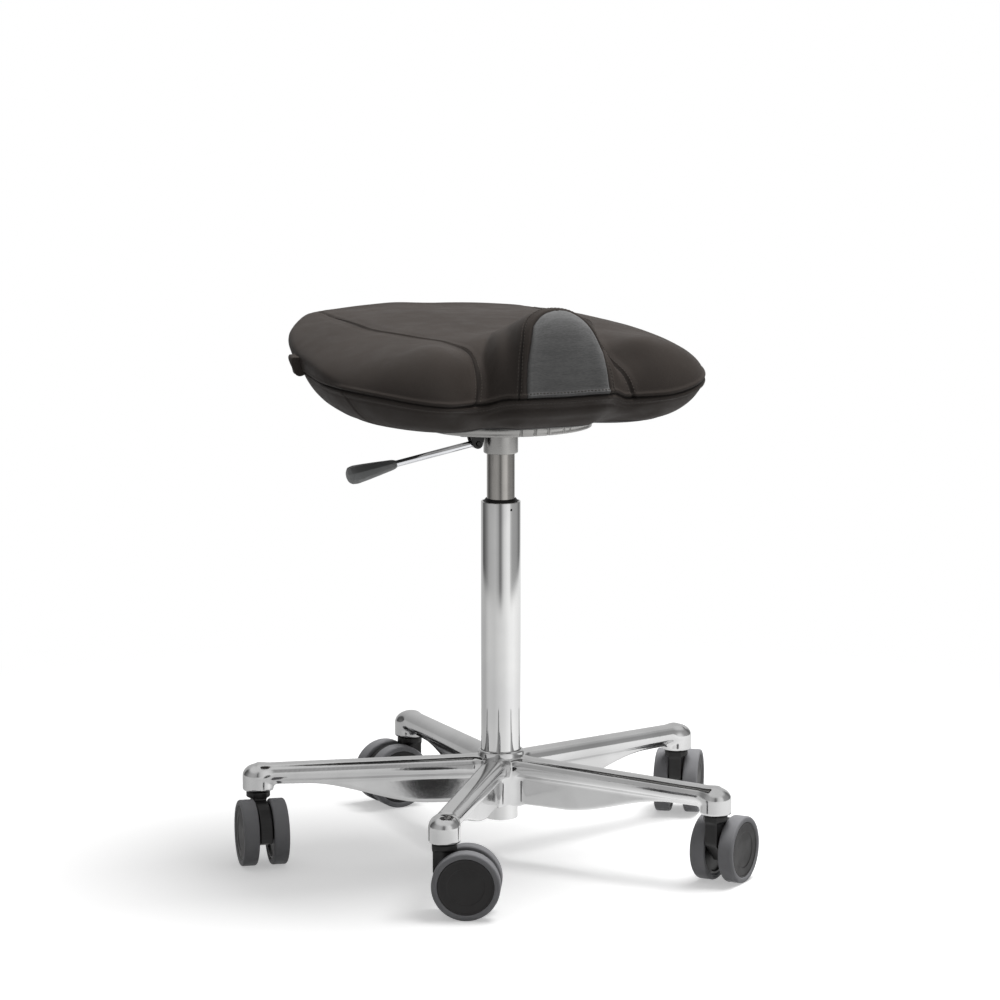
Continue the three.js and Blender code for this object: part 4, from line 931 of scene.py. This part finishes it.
def seat_rows():
    """The top from the crown's middle to the seam, and the underside from the seam to the shell."""
    deg = seat_angles(AROUND)[:, None]
    share = np.sin(np.linspace(0.02, math.pi / 2, 400))[None, :]
    crown = crown_point(deg, share)
    flank = flank_point(deg, np.linspace(0, 1, 60)[None, 1:])
    top = evenly(np.concatenate([crown, flank], 1), toward_end(TOP_ROWS))
    below = under_point(deg, np.sin(np.linspace(math.pi / 2, 0, 300))[None, :])
    radius = np.hypot(below[..., 0], below[..., 1]) / seam_radius(deg)
    below = below[:, : int(np.sum(radius[0] > SHELL_LIP)) + 1]
    under = evenly(below, 1 - toward_end(UNDER_ROWS)[::-1])
    fill = NOTCH_FILL * bell(np.abs(deg) - NOTCH_DEG, NOTCH_SPREAD)
    top[..., 1] -= fill * smooth(80, 25, run_back(top))
    under[..., 1] -= fill * smooth(45, 5, run_along(under))
    return relaxed(top), stretched(under)


def stretched(under):
    """The underside's skin pulled smooth across the notches of the seam above it."""
    turns = np.fft.fftfreq(AROUND)[:, None, None]
    spread = AROUND * 0.014
    waves = np.fft.fft(under, axis=0) * np.exp(-2 * (math.pi * spread * turns) ** 2)
    share = smooth(0, 14, run_along(under)) * smooth(8, 30, run_back(under))
    return mix(under, np.fft.ifft(waves, axis=0).real, share[..., None])


def normals_of(rows):
    """Outward normals of a grid of points, the first axis running round the seat."""
    round_way = np.roll(rows, -1, 0) - np.roll(rows, 1, 0)
    return unit(np.cross(np.gradient(rows, axis=1), round_way))


def curve_through(points, step=1.0):
    """A smooth line through points, as points a step apart."""
    points = np.array(points, float)
    padded = np.concatenate([[2 * points[0] - points[1]], points, [2 * points[-1] - points[-2]]])
    t = np.linspace(0, 1, 24, endpoint=False)[:, None]
    out = []
    for i in range(1, len(padded) - 2):
        a, b, c, d = padded[i - 1 : i + 3]
        square, cube = (2 * a - 5 * b + 4 * c - d) * t * t, (3 * b - a - 3 * c + d) * t**3
        out.append(0.5 * (2 * b + (c - a) * t + square + cube))
    out = np.concatenate(out + [points[-1:]])
    run = run_along(out)
    return points_at(np.arange(0, run[-1], step), run, out)


def mirrored(line):
    return [(-x, *rest) for x, *rest in line]


# Seams of the cover in millimetres, x, y and height; the wing and band seams are given for the
# right-hand side, the panel's edges as they lie.
WING_SEAM = [
    (119, 215, 496), (119, 213, 508), (118, 206, 520), (117, 150, 533), (117, 90, 534),
    (115, 50, 534), (106, 20, 534),
    (94, -10, 533), (83, -39, 533), (75.5, -60, 531), (70.5, -78, 527), (69, -92, 518),
    (72, -110, 506), (76.5, -127, 496), (80, -141, 480),
]
BAND_SEAM = [(191, -57, 491), (189.5, -60, 481), (186, -62, 473), (178, -61, 465), (160, -56, 458)]
PANEL_LEFT = [
    (-40.6, -159.5, 487), (-40.6, -158.6, 500), (-40, -157.6, 508), (-38, -155, 523),
    (-33, -150.7, 541.5), (-27.5, -143.2, 556.7), (-18.2, -139.3, 565.3), (-10.4, -137.7, 568.7),
    (0, -136.8, 570.2),
]
PANEL_RIGHT = [
    (47.6, -157.8, 487), (46.8, -156.2, 501), (46, -153.5, 513), (44.2, -150.2, 525.4),
    (39, -148.8, 538), (33.2, -145.8, 550), (26, -141, 559.5), (17, -138.6, 566), (8.6, -136.8, 569.5),
    (0, -136.8, 570.2),
]
STRIP_SEAM = [
    (-48.8, -156.9, 487), (-47, -154.7, 506), (-44.3, -150, 524.7), (-39.7, -143.5, 543),
    (-34, -134.7, 555.2), (-26, -127.5, 561.7), (-15.3, -123, 566.8), (-3.6, -123.5, 569.7),
    (6, -126.5, 570.3), (17, -130.5, 566.8), (26.5, -134.5, 560.5), (32.6, -139, 555.3),
    (38.8, -143.2, 544.6), (44.5, -144.5, 534), (50, -144.5, 522), (53, -146, 509),
    (53.3, -151, 498), (53.2, -153.5, 487),
]

SEAM_LINES = {
    "right_wing": WING_SEAM, "left_wing": mirrored(WING_SEAM),
    "right_band": BAND_SEAM, "left_band": mirrored(BAND_SEAM),
    "left_panel": PANEL_LEFT, "right_panel": PANEL_RIGHT, "strip": STRIP_SEAM,
}

# What the cover does across each kind of seam: bells of (height, distance from the seam, width).
# At the rim seam a positive distance is up.
SEAM_BELLS = {
    "wing": ((0.5, 4.2, 2.4), (-1.6, 0, 1.4), (-1.2, 0, 9)),
    "band": ((0.4, 4, 2.5), (-1, 0, 1.5)),
    "panel": ((0.3, 3.2, 1.8), (-0.8, 0, 1.2)),
    "strip": ((0.3, 3.2, 1.6), (-1.2, 0, 1.2)),
    "rim": ((1.3, 3.2, 1.9), (1.1, -3.2, 1.9), (-1.7, 0, 1.2), (-0.5, -7.5, 1.6)),
    "rim_front": ((1.4, -19, 5.5), (-1.5, -11.5, 2.4)),
}

# How much shade is painted along each kind of seam, and how wide.
PAINTED_SEAM_SHADES = {
    "wing": (1, 1.3), "band": (0.8, 1.2), "panel": (0.8, 1), "strip": (1, 1.1), "rim": (1, 1.2),
}
WAVES_SHARE = 0.6
FULL_PLACE, FULL_SPREAD, FULL_OUT = (-131, 191), 27, 3
REAR_OUT = 3.6
PANEL_OUT = 0.4
PANEL_BACK_Y, PANEL_LOW_Z, PANEL_SIDE_TOP_Z = -130, 484, 535
NOT_PANEL = -30.0


def grid_tree(rows):
    """A search tree over a grid of points that closes along its first axis."""
    count = rows.shape[1]
    quads = []
    for i in range(len(rows)):
        a, b = i * count, (i + 1) % len(rows) * count
        quads += [(a + j, a + j + 1, b + j + 1, b + j) for j in range(count - 1)]
    return BVHTree.FromPolygons([tuple(p) for p in rows.reshape(-1, 3)], quads)


def nearest_on(tree, line):
    """A line moved onto a tree's surface, with the surface's normal at each point."""
    found = [tree.find_nearest(Vector(p)) for p in line]
    return np.array([f[0] for f in found]), np.array([f[1] for f in found])


top, under = seat_rows()
surface_rows = np.concatenate([top, under[:, 1:]], 1)
surface_tree = grid_tree(surface_rows)
cover_lines = {
    name: nearest_on(surface_tree, curve_through(line)) for name, line in SEAM_LINES.items()
}


def distance_to(points, line, reach=14):
    """Each point's distance to a line of points, no further than reach."""
    best = np.full(len(points), float(reach))
    low, high = line.min(0) - reach, line.max(0) + reach
    near = np.where(((points > low) & (points < high)).all(1))[0]
    for start in range(0, len(near), 4000):
        some = near[start : start + 4000]
        best[some] = np.minimum(best[some], lengths(points[some][:, None] - line[None]).min(1))
    return best


def bells(distance, kind):
    return sum(height * bell(distance - at, width) for height, at, width in SEAM_BELLS[kind])


def soft_waves(points):
    """Slow unevenness of the stuffed leather, in millimetres."""
    x, y, z = points.T
    return (
        0.35 * np.sin(x / 23 + 1.3 * np.sin(y / 31) + 0.4)
        + 0.3 * np.sin(y / 19 + 1.1 * np.sin(x / 37) + z / 29 + 2.1)
        + 0.12 * np.sin(x / 7.3 + 2 * np.sin(y / 13)) * np.sin(y / 8.1 + 1.7)
    )


def panel_depth(points):
    """How far inside the front panel a point lies; negative outside it."""
    x, y, z = points.T
    left, right = (np.interp(z, *np.array(edge).T[[2, 0]]) for edge in (PANEL_LEFT, PANEL_RIGHT))
    top_edge = np.array(sorted(PANEL_LEFT[3:] + PANEL_RIGHT[3:-1]))
    back = np.interp(x, *top_edge.T[:2])
    inside = (x > left) & (x < right) & (y < PANEL_BACK_Y) & (z > PANEL_LOW_Z)
    inside &= (z < PANEL_SIDE_TOP_Z) | (y < back)
    line = np.concatenate([cover_lines["left_panel"][0], cover_lines["right_panel"][0]])
    gap = distance_to(points, line, -NOT_PANEL)
    return np.where(inside, gap, -gap)


def dressed(rows, normals, rim_gap):
    """The cover with its seams, panel and slow waves: points, panel depth and the shade painted along
    the seams.
    """
    points = rows.reshape(-1, 3)
    x, y, _ = points.T
    out = WAVES_SHARE * soft_waves(points) * smooth(0, 12, np.abs(rim_gap))
    # dark gathers the painted shade of the seam grooves, strongest on each seam line.
    dark = np.zeros(len(points))
    gaps = [(name.split("_")[-1], distance_to(points, cover_lines[name][0])) for name in cover_lines]
    for kind, gap in gaps + [("rim", rim_gap)]:
        out += bells(gap, kind)
        shade, width = PAINTED_SEAM_SHADES[kind]
        dark = np.maximum(dark, shade * bell(gap, width))
    out += smooth(90, 40, np.abs(x)) * smooth(-90, -130, y) * bells(rim_gap, "rim_front")
    away = np.hypot(x - FULL_PLACE[0], y - FULL_PLACE[1])
    out += FULL_OUT * bell(away, FULL_SPREAD) * smooth(2, 16, rim_gap)
    out += REAR_OUT * smooth(20, -40, x) * smooth(60, 185, y) * smooth(0, 20, rim_gap)
    depth = panel_depth(points)
    depth[rim_gap < 0.5] = NOT_PANEL
    out += PANEL_OUT * smooth(1, 8, depth)
    moved = points + normals.reshape(-1, 3) * out[:, None]
    return moved.reshape(rows.shape), depth, dark


top_gap = run_back(top)
normals = normals_of(surface_rows)
rim_gaps = np.concatenate([top_gap, -run_along(under)[:, 1:]], 1)
dressed_rows, depths, painted_seam_shade = dressed(surface_rows, normals, rim_gaps.ravel())


def cushion_mesh():
    """The saddle's skin as one closed grid, from the recess over the shell to the crown's middle."""
    deg = seat_angles(AROUND)
    roof = SHELL_T + 0.3
    inner = [under_point(deg, s, roof) for s in (0.02, 0.3, 0.6, SHELL_LIP - 0.005)]
    inner += [under_point(deg, SHELL_LIP, lift) for lift in (roof - 0.5, 0.6)]
    rows = inner + list(dressed_rows[:, -2::-1].swapaxes(0, 1))
    ends = [[np.mean(row, axis=0)] for row in (rows[0], rows[-1])]
    layers = []
    for values, rest in ((depths, NOT_PANEL), (painted_seam_shade, 0.0)):
        outer = values.reshape(AROUND, -1)[:, -2::-1].T
        layers.append(np.concatenate([np.full(len(inner) * AROUND, rest), outer.ravel(), [rest] * 2]))
    return np.concatenate(rows + ends), capped(len(rows), AROUND), layers


def leather_finish(name, sewn):
    """Dark brown leather with a pebbled grain; sewn adds the woven front panel and shade painted into
    the seam grooves.
    """
    tree = Tree(name)
    cloud = tree.noise(45, 4)
    drift = tree.blend(tree.noise(9, 4), 0.6, cloud, 0.4)
    cells = tree.node(
        "TexVoronoi", {"Vector": tree.place(), "Scale": 900, "Randomness": 1.0},
        feature="DISTANCE_TO_EDGE",
    )
    pebbles = tree.band(cells.outputs["Distance"], 0.0, 0.25)
    hide = tree.colours(tree.band(drift, 0.35, 0.65), srgb(64, 58, 54), srgb(72, 66, 62))
    hide = tree.mixed(tree.times(pebbles, 0.25), hide, (*srgb(78, 72, 68), 1))
    grain = tree.plus(pebbles, tree.times(tree.noise(2600, 3), 0.4))
    height = tree.times(grain, 0.0001)
    rough = tree.band(cloud, 0.3, 0.7, 0.56, 0.68)
    tree.shader.inputs["Specular IOR Level"].default_value = 0.3
    if sewn:
        threads = tree.noise(1500, 2, (0.16, 1, 1))
        slubs = tree.noise(260, 3, (0.12, 1, 1))
        weave = tree.blend(threads, 0.6, slubs, 0.4)
        cloth = tree.colours(tree.band(weave, 0.35, 0.65), srgb(126), srgb(145))
        depth, seam = (
            tree.node("Attribute", attribute_name=layer).outputs["Fac"] for layer in ("panel", "seam")
        )
        insert = tree.band(depth, -0.3, 0.3)
        height = tree.node("Mix", {0: insert, 2: height, 3: tree.times(weave, 0.0002)}).outputs[0]
        rough = tree.node("Mix", {0: insert, 2: rough, 3: 0.9}).outputs[0]
        hide = tree.mixed(insert, hide, cloth)
        # Painted shade: along the seams the leather is darkened towards near-black, for the shade in
        # their grooves.
        hide = tree.mixed(tree.times(seam, 0.75), hide, (*srgb(14, 12, 11), 1))
    return tree.set(Base_Color=hide, Roughness=rough, Normal=tree.bump(height, 1.0, 0.8))


points, faces, layers = cushion_mesh()
cushion = mesh_object("saddle_pad", points, faces, leather_finish("brown_leather", True), 0)
# The seam layer holds the shade painted along the seams.
for name, values in zip(("panel", "seam"), layers):
    layer = cushion.data.attributes.new(name, "FLOAT", "POINT")
    layer.data.foreach_set("value", values.astype(np.float32))
stand_for(cushion, "seat", "brown_leather", "seat_cushion")


STITCH_PITCH = 3.6
STITCH_LENGTH = 2.5
STITCH_R = 0.42
STITCH_SIDES = 6

# A stitch from end to end: share of its length, width, and how far it sinks in.
STITCH_FORM = ((0, 0.4, 0.5), (0.2, 1, 0.1), (0.5, 1.1, 0), (0.8, 1, 0.1), (1, 0.4, 0.5))

# Stitched seams: the line, the points left out at its start, and the rows' distances from it.
STITCH_ROWS = (
    ("left_wing", 4, (-2.6, 2.6)), ("right_wing", 4, (-2.6, 2.6)), ("strip", 3, (-1.9, 1.9)),
    ("left_band", 5, (2.2,)), ("right_band", 5, (-2.2,)),
)


def stitch_mesh(line, normals, offset):
    """Small threads along a line of surface points, set off to one side of it."""
    sides = np.cross(normals, unit(np.gradient(line, axis=0)))
    path, ups = nearest_on(cover_tree, line + sides * offset)
    run = run_along(path)
    faces = ring_faces(len(STITCH_FORM), STITCH_SIDES)
    end = (len(STITCH_FORM) - 1) * STITCH_SIDES
    faces += [tuple(reversed(range(STITCH_SIDES))), tuple(range(end, end + STITCH_SIDES))]
    parts = []
    for start in np.arange(1.5, run[-1] - STITCH_LENGTH, STITCH_PITCH):
        points = []
        for share, width, sink in STITCH_FORM:
            mark = start + STITCH_LENGTH * share
            centre, ahead = points_at(np.array((mark, mark + 0.5)), run, path)
            up = unit(points_at(mark, run, ups))
            side = unit(np.cross(up, ahead - centre))
            centre = centre + up * (STITCH_R * (0.35 - sink))
            for a in full_turn(STITCH_SIDES):
                points.append(centre + STITCH_R * width * (side * math.cos(a) + up * math.sin(a)))
        parts.append((points, faces))
    return parts


cover_tree = grid_tree(dressed_rows)
seam_ring = surface_rows[:, TOP_ROWS - 1]
threads = []
for name, start, offsets in STITCH_ROWS:
    line, line_normals = cover_lines[name]
    for offset in offsets:
        threads += stitch_mesh(line[start:-3], line_normals[start:-3], offset)
front_ring = seam_ring[(np.abs(seam_ring[:, 0]) < 47) & (seam_ring[:, 1] < -140)]
front_ring = front_ring[np.argsort(front_ring[:, 0])]
threads += stitch_mesh(*nearest_on(surface_tree, front_ring + (0, 0, 4.5)), 0)
closed = np.append(np.arange(AROUND), 0)
threads += stitch_mesh(seam_ring[closed], normals[closed, TOP_ROWS - 1], -5.4)
stitches = mesh_object("cover_stitches", *together(*threads), THREAD, 60)
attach(stitches, "seat")


TAB_DEG = -110.6
TAB_HALF_DEG = 3.4
TAB_REACH = 17.5
TAB_T = 8


def tab_mesh():
    """A small folded strip of the cover's leather, sewn into the seam and laid up the flank."""
    degs = np.degrees(np.arctan2(seam_ring[:, 0], -seam_ring[:, 1]))
    columns = np.where(np.abs(degs - TAB_DEG) < TAB_HALF_DEG)[0]
    columns = columns[np.argsort(degs[columns])]
    reach = top_gap[columns].mean(0)
    rows = np.where(reach < TAB_REACH)[0][::-1]
    w = np.linspace(-1, 1, len(columns))[:, None]
    v = np.linspace(0, 1, len(rows))[None, :]
    edge = (1 - np.abs(w) ** 10) * (1 - np.abs(2 * v - 1) ** 8)
    height = TAB_T * np.maximum(edge, 0) ** 0.3 * (1 - 0.1 * np.sin(v * 5 + 2 * w))
    grid = dressed_rows[np.ix_(columns, rows)]
    outs = normals[np.ix_(columns, rows)]
    outer = grid + outs * (height[..., None] - 0.2)
    inner = grid - outs * 0.5
    across, along = grid.shape[:2]
    points = np.concatenate([outer.reshape(-1, 3), inner.reshape(-1, 3)])
    base = across * along
    last = base - along
    faces = []
    for i in range(across - 1):
        for j in range(along - 1):
            a = i * along + j
            quad = (a, a + along, a + along + 1, a + 1)
            faces += [quad, tuple(base + k for k in reversed(quad))]
    rim = [(i * along, (i + 1) * along) for i in range(across - 1)]
    rim += [((i + 2) * along - 1, (i + 1) * along - 1) for i in range(across - 1)]
    rim += [(j + 1, j) for j in range(along - 1)]
    rim += [(last + j, last + j + 1) for j in range(along - 1)]
    faces += [(b, a, base + a, base + b) for a, b in rim]
    return points, faces


tab = mesh_object("leather_tab", *tab_mesh(), leather_finish("plain_leather", False), 50)
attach(tab, "seat")

SHELL_SIDES = 240


def shell_mesh():
    degs = seat_angles(SHELL_SIDES)
    shares = np.linspace(0.02, SHELL_SHARE, 24)
    rows = [under_point(degs, s) for s in shares]
    rows += [under_point(degs, SHELL_SHARE, SHELL_T * t) for t in (0.1, 0.5, 0.9)]
    rows += [under_point(degs, s, SHELL_T) for s in shares[::-1]]
    faces = [f[::-1] for f in ring_faces(len(rows), SHELL_SIDES)]
    last = (len(rows) - 1) * SHELL_SIDES
    faces += [tuple(range(SHELL_SIDES)), tuple(last + j for j in reversed(range(SHELL_SIDES)))]
    return np.concatenate(rows), faces


shell = mesh_object("moulded_shell", *shell_mesh(), SHELL, 40)
stand_for(shell, "seat", "black_plastic", "seat_shell")

# Finishes of the CAD nodes that stay

NODE_FINISHES = {
    "bearing_cage": BLACK, "rubber_buffer": RUBBER, "piston_ring": BLACK, "lever_pin": BLACK,
}
for name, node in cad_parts.items():
    finish = NODE_FINISHES.get(name, STEEL)
    if not node.material_slots:
        node.data.materials.append(finish)
    for place in node.material_slots:
        place.material = finish

# Camera

CAMERA_TURN = math.radians(-23.3)
CAMERA_RISE = math.radians(9.497)
CAMERA_DISTANCE = 4.2
CAMERA_TARGET = Vector((-0.00074, 0.00032, 0.36299))
SENSOR_W = 36
FRAME_SHARE = 4.203

level = math.cos(CAMERA_RISE)
back = Vector((math.sin(CAMERA_TURN) * level, -math.cos(CAMERA_TURN) * level, math.sin(CAMERA_RISE)))
lens = bpy.data.cameras.new("camera")
lens.sensor_width = SENSOR_W
lens.lens = SENSOR_W * FRAME_SHARE
lens.clip_end = 50
camera = bpy.data.objects.new("camera", lens)
camera.location = CAMERA_TARGET + back * CAMERA_DISTANCE
camera.rotation_euler = (-back).to_track_quat("-Z", "Y").to_euler()
bpy.context.scene.collection.objects.link(camera)
bpy.context.scene.camera = camera

# Floor, world and lamp
# What a mirror-like surface sees all round, by angle from the front: degrees and brightness.
ROOM_FAR = (
    (-180, 0.5), (-152, 0.4), (-147, 0.1), (-138, 0.1), (-125, 0.15), (-109, 0.26), (-95, 0.4),
    (-80, 0.45), (-55, 0.5), (-38, 0.38), (-30, 0.2), (-26, 0.17), (-20, 0.25), (-12, 0.5),
    (-3, 0.7), (15, 0.86), (28, 0.86), (34, 0.6), (40, 0.45), (48, 0.37), (80, 0.32),
    (101, 0.2), (107, 0.15), (118, 0.25), (126, 0.6), (150, 0.6), (180, 0.5),
)
ROOM_NEAR = (
    (-180, 0.5), (-150, 0.46), (-126, 0.45), (-109, 0.55), (-94, 0.6), (-60, 0.58), (-32, 0.68),
    (-3, 0.76), (28, 0.94), (55, 0.98), (101, 0.84), (124, 0.8), (150, 0.6), (180, 0.5),
)


def room_ramp(tree, direction, levels):
    """The room's brightness in a direction given as a vector, and that vector's height."""
    parts = tree.node("SeparateXYZ", {0: direction})
    front = tree.maths("MULTIPLY", parts.outputs[1], -1.0)
    angle = tree.maths("ARCTAN2", parts.outputs[0], front)
    share = tree.node("MapRange", {0: angle, 1: -math.pi, 2: math.pi}).outputs[0]
    ramp = tree.node("ValToRGB", {0: share})
    stops = ramp.color_ramp.elements
    while len(stops) < len(levels):
        stops.new(0.5)
    for stop, (degrees, level) in zip(stops, levels):
        stop.position = (degrees + 180) / 360
        stop.color = (level, level, level, 1)
    return ramp.outputs[0], parts.outputs[2]


FLOOR_HALF = 6.0
WHITE_FROM, WHITE_TO = 0.55, 1.1
FAR_FROM, FAR_TO = 1.75, 2.2
FLOOR_GLOW = 0.4
MIRROR_GLOW = 1.1


def floor_piece():
    """A pale floor that keeps the object's shadow and runs out to white."""
    mesh = bpy.data.meshes.new("floor")
    half = FLOOR_HALF
    corners = [(-half, -half, 0), (half, -half, 0), (half, half, 0), (-half, half, 0)]
    mesh.from_pydata(corners, [], [(0, 1, 2, 3)])
    tree = Tree("pale_floor")
    tree.set(Base_Color=tree.colours(tree.noise(3, 3), (0.34,) * 3, (0.38,) * 3), Roughness=0.9)
    where = tree.node("TexCoord").outputs["Object"]
    far = tree.vector("LENGTH", where, result="Value")
    paper = tree.node("BsdfDiffuse", {"Color": (0.9, 0.9, 0.9, 1)})
    glow = tree.node("Emission", {"Color": (1, 1, 1, 1), "Strength": FLOOR_GLOW})
    near = tree.node("AddShader", {0: paper.outputs[0], 1: glow.outputs[0]})
    white = tree.node("Emission", {"Color": (1, 1, 1, 1), "Strength": 1.0})
    close, distant = (room_ramp(tree, where, levels)[0] for levels in (ROOM_NEAR, ROOM_FAR))
    level = tree.mixed(tree.band(far, FAR_FROM, FAR_TO), close, distant)
    mirror = tree.node("Emission", {"Color": level, "Strength": MIRROR_GLOW})
    path = tree.node("LightPath")

    def either(share, first, second):
        return tree.node("MixShader", {0: share, 1: first.outputs[0], 2: second.outputs[0]})

    shown = either(tree.band(far, WHITE_FROM, WHITE_TO), near, white)
    seen = either(path.outputs["Is Camera Ray"], tree.shader, shown)
    both = either(path.outputs["Is Glossy Ray"], seen, mirror)
    tree.feed(tree.out.inputs[0], both.outputs[0])
    mesh.materials.append(tree.material)
    piece = bpy.data.objects.new("floor", mesh)
    bpy.context.scene.collection.objects.link(piece)
    piece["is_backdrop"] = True


floor_piece()

SKY = 0.56
SKY_LEAN, SKY_LEAN_SHARE = (0.97, 0.25, 0), 0.6
CEILING = 0.7


def room():
    """White to the camera, the studio's bright and dark areas to mirror-like surfaces."""
    world = bpy.data.worlds.new("room")
    world.use_nodes = True
    tree = Tree.of(world.node_tree)
    direction = tree.node("TexCoord").outputs["Generated"]
    level, height = room_ramp(tree, direction, ROOM_FAR)
    seen = tree.mixed(tree.band(height, 0.55, 0.85), level, (CEILING, CEILING, CEILING, 1))
    rise = tree.maths("POWER", tree.maths("MAXIMUM", height, 0.0), 1.5)
    lean = tree.vector("DOT_PRODUCT", direction, SKY_LEAN, "Value")
    sky = tree.times(tree.times(rise, SKY), tree.plus(tree.times(lean, SKY_LEAN_SHARE), 1.0))
    path = tree.node("LightPath").outputs
    glassy = tree.maths("MAXIMUM", path["Is Glossy Ray"], path["Is Transmission Ray"])
    shown = tree.mixed(path["Is Camera Ray"], tree.mixed(glassy, sky, seen), (1, 1, 1, 1))
    light = tree.node("Background", {"Color": shown})
    tree.feed(tree.node("OutputWorld").inputs[0], light.outputs[0])
    bpy.context.scene.world = world


room()

KEY_PLACE, KEY_AIM = Vector((1.0, 0.05, 3.3)), Vector((0, 0, 0.45))
KEY_SIZE = 1.5
KEY_POWER = 82


def key_lamp():
    """One wide lamp overhead, which mirror-like surfaces don't show."""
    light = bpy.data.lights.new("key", "AREA")
    light.size = KEY_SIZE
    light.energy = KEY_POWER
    holder = bpy.data.objects.new("key", light)
    holder.location = KEY_PLACE
    holder.rotation_euler = (KEY_AIM - KEY_PLACE).to_track_quat("-Z", "Y").to_euler()
    holder.visible_glossy = False
    bpy.context.scene.collection.objects.link(holder)


key_lamp()
bpy.context.scene.view_settings.view_transform = "Standard"

low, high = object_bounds()
